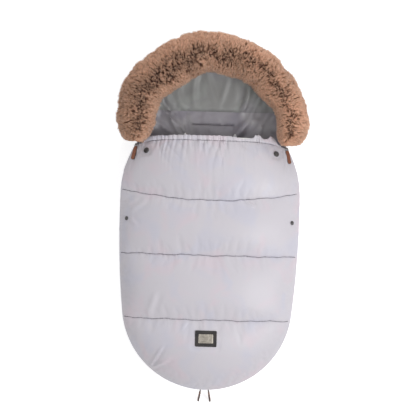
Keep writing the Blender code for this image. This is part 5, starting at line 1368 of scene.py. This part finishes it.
for level, place in (("top", top_place), ("bottom", bottom_place)):
    body = f"SIDE_{level}_pull"
    bpy.ops.object.select_all(action="DESELECT")
    bpy.ops.curve.primitive_bezier_circle_add()
    ring = bpy.context.object
    ring.data.splines.clear()
    spline = ring.data.splines.new("POLY")
    corners = [(RING_CORNER if end < 0 else RING_LONG - RING_CORNER, side * (RING_HALF - RING_CORNER), start)
               for end, side, start in ((1, 1, 0), (-1, 1, 90), (-1, -1, 180), (1, -1, 270))]
    bent = [(u + RING_CORNER * math.cos(angle), a + RING_CORNER * math.sin(angle))
            for u, a, start in corners for angle in np.radians(np.arange(start, start + 91, 15))]
    spline.points.add(len(bent) - 1)
    for point, (u, a) in zip(spline.points, bent):
        point.co = (u * MM, a * MM, 0, 1)
    spline.use_cyclic_u = True
    ring.data.dimensions, ring.data.bevel_depth, ring.data.bevel_resolution = "3D", WIRE * MM, 4
    bpy.ops.object.convert(target="MESH")
    ring = bpy.context.object
    ring.data.materials.clear()
    ring.data.materials.append(pull_metal)
    ring.data.shade_smooth()
    ring.data.transform(place)
    fit_pair(face_outwards(ring), level + "_wire_ring", level + "_pull_ring", body)

    bpy.ops.object.select_all(action="DESELECT")
    bpy.ops.mesh.primitive_plane_add(size=1)
    strap = bpy.context.object
    bpy.ops.object.mode_set(mode="EDIT")
    bpy.ops.mesh.select_mode(type="VERT")
    bpy.ops.mesh.select_all(action="SELECT")
    bpy.ops.transform.resize(value=(TAB_LONG * MM, TAB_WIDE * MM, 1))
    middle_u = RING_LONG + TAB_LONG / 2
    bpy.ops.transform.translate(value=(middle_u * MM, 0, -TAB_THICK / 2 * MM))
    for at_tip, cut, segments in ((True, TAB_TIP, 8), (False, TAB_NEAR_CORNER, 3)):
        work = bmesh.from_edit_mesh(strap.data)
        for vertex in work.verts:
            vertex.select_set((vertex.co.x / MM > middle_u) == at_tip)
        work.select_flush_mode()
        bmesh.update_edit_mesh(strap.data)
        bpy.ops.mesh.bevel(offset=cut * MM, segments=segments, affect="VERTICES")
    bpy.ops.mesh.select_all(action="SELECT")
    bpy.ops.mesh.extrude_region_move(TRANSFORM_OT_translate={"value": (0, 0, TAB_THICK * MM)})
    bpy.ops.mesh.select_all(action="SELECT")
    bpy.ops.mesh.normals_make_consistent(inside=False)
    for height in (0.25, -0.25):
        bpy.ops.mesh.select_all(action="SELECT")
        bpy.ops.mesh.bisect(plane_co=(0, 0, height * MM), plane_no=(0, 0, 1))
    bpy.ops.object.mode_set(mode="OBJECT")
    bevelled(strap, 0.5, 3, 50)
    # The two leaves' raised borders, and the glued joint drawn in between them
    inner = bmesh.new()
    inner.from_mesh(strap.data)
    leaves = [f for f in inner.faces if abs(f.normal.z) > 0.95 and len(f.verts) > 8]
    bmesh.ops.inset_individual(inner, faces=leaves, thickness=0.5 * MM)
    for vertex in inner.verts:
        if abs(vertex.co.z) < 0.3 * MM:
            vertex.co.y *= 0.94
            vertex.co.x = middle_u * MM + (vertex.co.x - middle_u * MM) * 0.98
    inner.to_mesh(strap.data)
    inner.free()
    rim = strap.data.attributes.new("rim", "FLOAT", "POINT")
    for vertex, value in zip(strap.data.vertices, rim.data):
        value.value = 1.0 if strap_rim(vertex.co.x / MM, vertex.co.y / MM) < 0.45 else 0.0
    strap.data.materials.append(leather)
    strap.data.transform(place)
    fit_pair(strap, level + "_leather_strap", level + "_pull_tab", body)

    half = (RING_HALF - RING_CORNER - 0.3) * 0.999
    loop = [(RING_LONG + FOLD_RADIUS * math.cos(a), end * half, FOLD_RADIUS * math.sin(a))
            for end in (-1, 1) for a in np.linspace(0, 2 * math.pi, 25)[:-1]]
    piece = bevelled(local_piece(level + "_fold", loop, tube(2, 24), leather, place), 0.4, 3, 60)
    fit_pair(piece, level + "_leather_fold", level + "_pull_tab", body)

    path = [(u, -STITCH_ASIDE) for u in np.arange(13, 41, 1.0)]
    path += [(40 + STITCH_TURN * math.cos(a), side + STITCH_TURN * math.sin(a))
             for side, low in ((-1, -90), (1, 0)) for a in np.radians(np.arange(low, low + 91, 10))]
    path += [(u, STITCH_ASIDE) for u in np.arange(40, 12, -1.0)]
    rows = [stitched_row(np.array([(u, a, face * (TAB_THICK / 2 + 0.05)) for u, a in path]), (0, 0, -0.5 * face),
                         *STRAP_STITCH) for face in (1, -1)]
    piece = local_piece(level + "_strap_stitching", *joined(rows), waxed_thread, place)
    fit_pair(piece, level + "_strap_stitching", None, body)

# The label: a patch of black woven tape sewn on near the foot, and on it a bare plate of brushed
# metal with a raised border; neither carries any lettering.
LABEL_SIZE, PLATE_SIZE, STITCH_INSET, LABEL_STITCH = (59.0, 44.0), (40.0, 25.0), 2.3, (2.6, 3.6, 0.4)
patch_cloth = cloth_material("black_patch", (44, 41, 41), (50, 45, 44), (36, 35, 37), 0.75, 0.4,
                             patch=60.0, crease_scale=500, depth=0.5)
patch_thread = cloth_material("patch_thread", (74, 70, 70), (82, 76, 74), (64, 62, 64), 0.7, 0.3)
plate_metal = speckled_finish("grey_plate", (132, 126, 118), (178, 171, 160), (0.34, 0.5), 0.75, 260, 0.08)


def rounded_loop(wide, long, corner, step=1.5):
    """A rectangle with rounded corners round the label's middle."""
    loop = []
    for side_x, side_y, start in ((1, -1, -90), (1, 1, 0), (-1, 1, 90), (-1, -1, 180)):
        for a in (math.radians(start + turn) for turn in range(0, 91, 15)):
            loop.append((side_x * (wide / 2 - corner) + corner * math.cos(a),
                         LABEL_Y + side_y * (long / 2 - corner) + corner * math.sin(a)))
    loop = np.array(loop + loop[:1])
    lengths = path_lengths(loop)
    at = np.linspace(0, lengths[-1], round(lengths[-1] / step) + 1)[:-1]
    return np.column_stack([np.interp(at, lengths, loop[:, k]) for k in (0, 1)])


for name, node, size, corner, low, thick, border, finish, slot in (
        ("label_patch_tape", "label_patch", LABEL_SIZE, 3.0, 0.4, 1.4, 0.0, patch_cloth, "black_patch"),
        ("label_plate_bare", "label_plate", PLATE_SIZE, 1.5, 2.0, 0.8, 0.3, plate_metal, "grey_plate")):
    plan, faces, _ = cut_cloth(rounded_loop(*size, corner), [], 2.0, seed=3)
    rim = nearest(plan, rounded_loop(*size, corner, 0.3))
    base = cover_face(*plan.T) + low
    top = base + thick - 0.5 * smooth(1.0, 0.0, rim) + border * smooth(0.8, 1.3, rim) * smooth(3.2, 2.6, rim)
    form = slab(np.column_stack([plan, top]), np.column_stack([plan, base]), faces)
    closed_piece(name, form, finish, "cover", node)
path = rounded_loop(LABEL_SIZE[0] - 2 * STITCH_INSET, LABEL_SIZE[1] - 2 * STITCH_INSET, 2.0)
path = np.vstack([path, path[:1]])
row = stitched_row(np.column_stack([path, cover_face(*path.T) + 1.85]), (0, 0, -0.5), *LABEL_STITCH)
closed_piece("label_stitching", row, patch_thread, "cover")
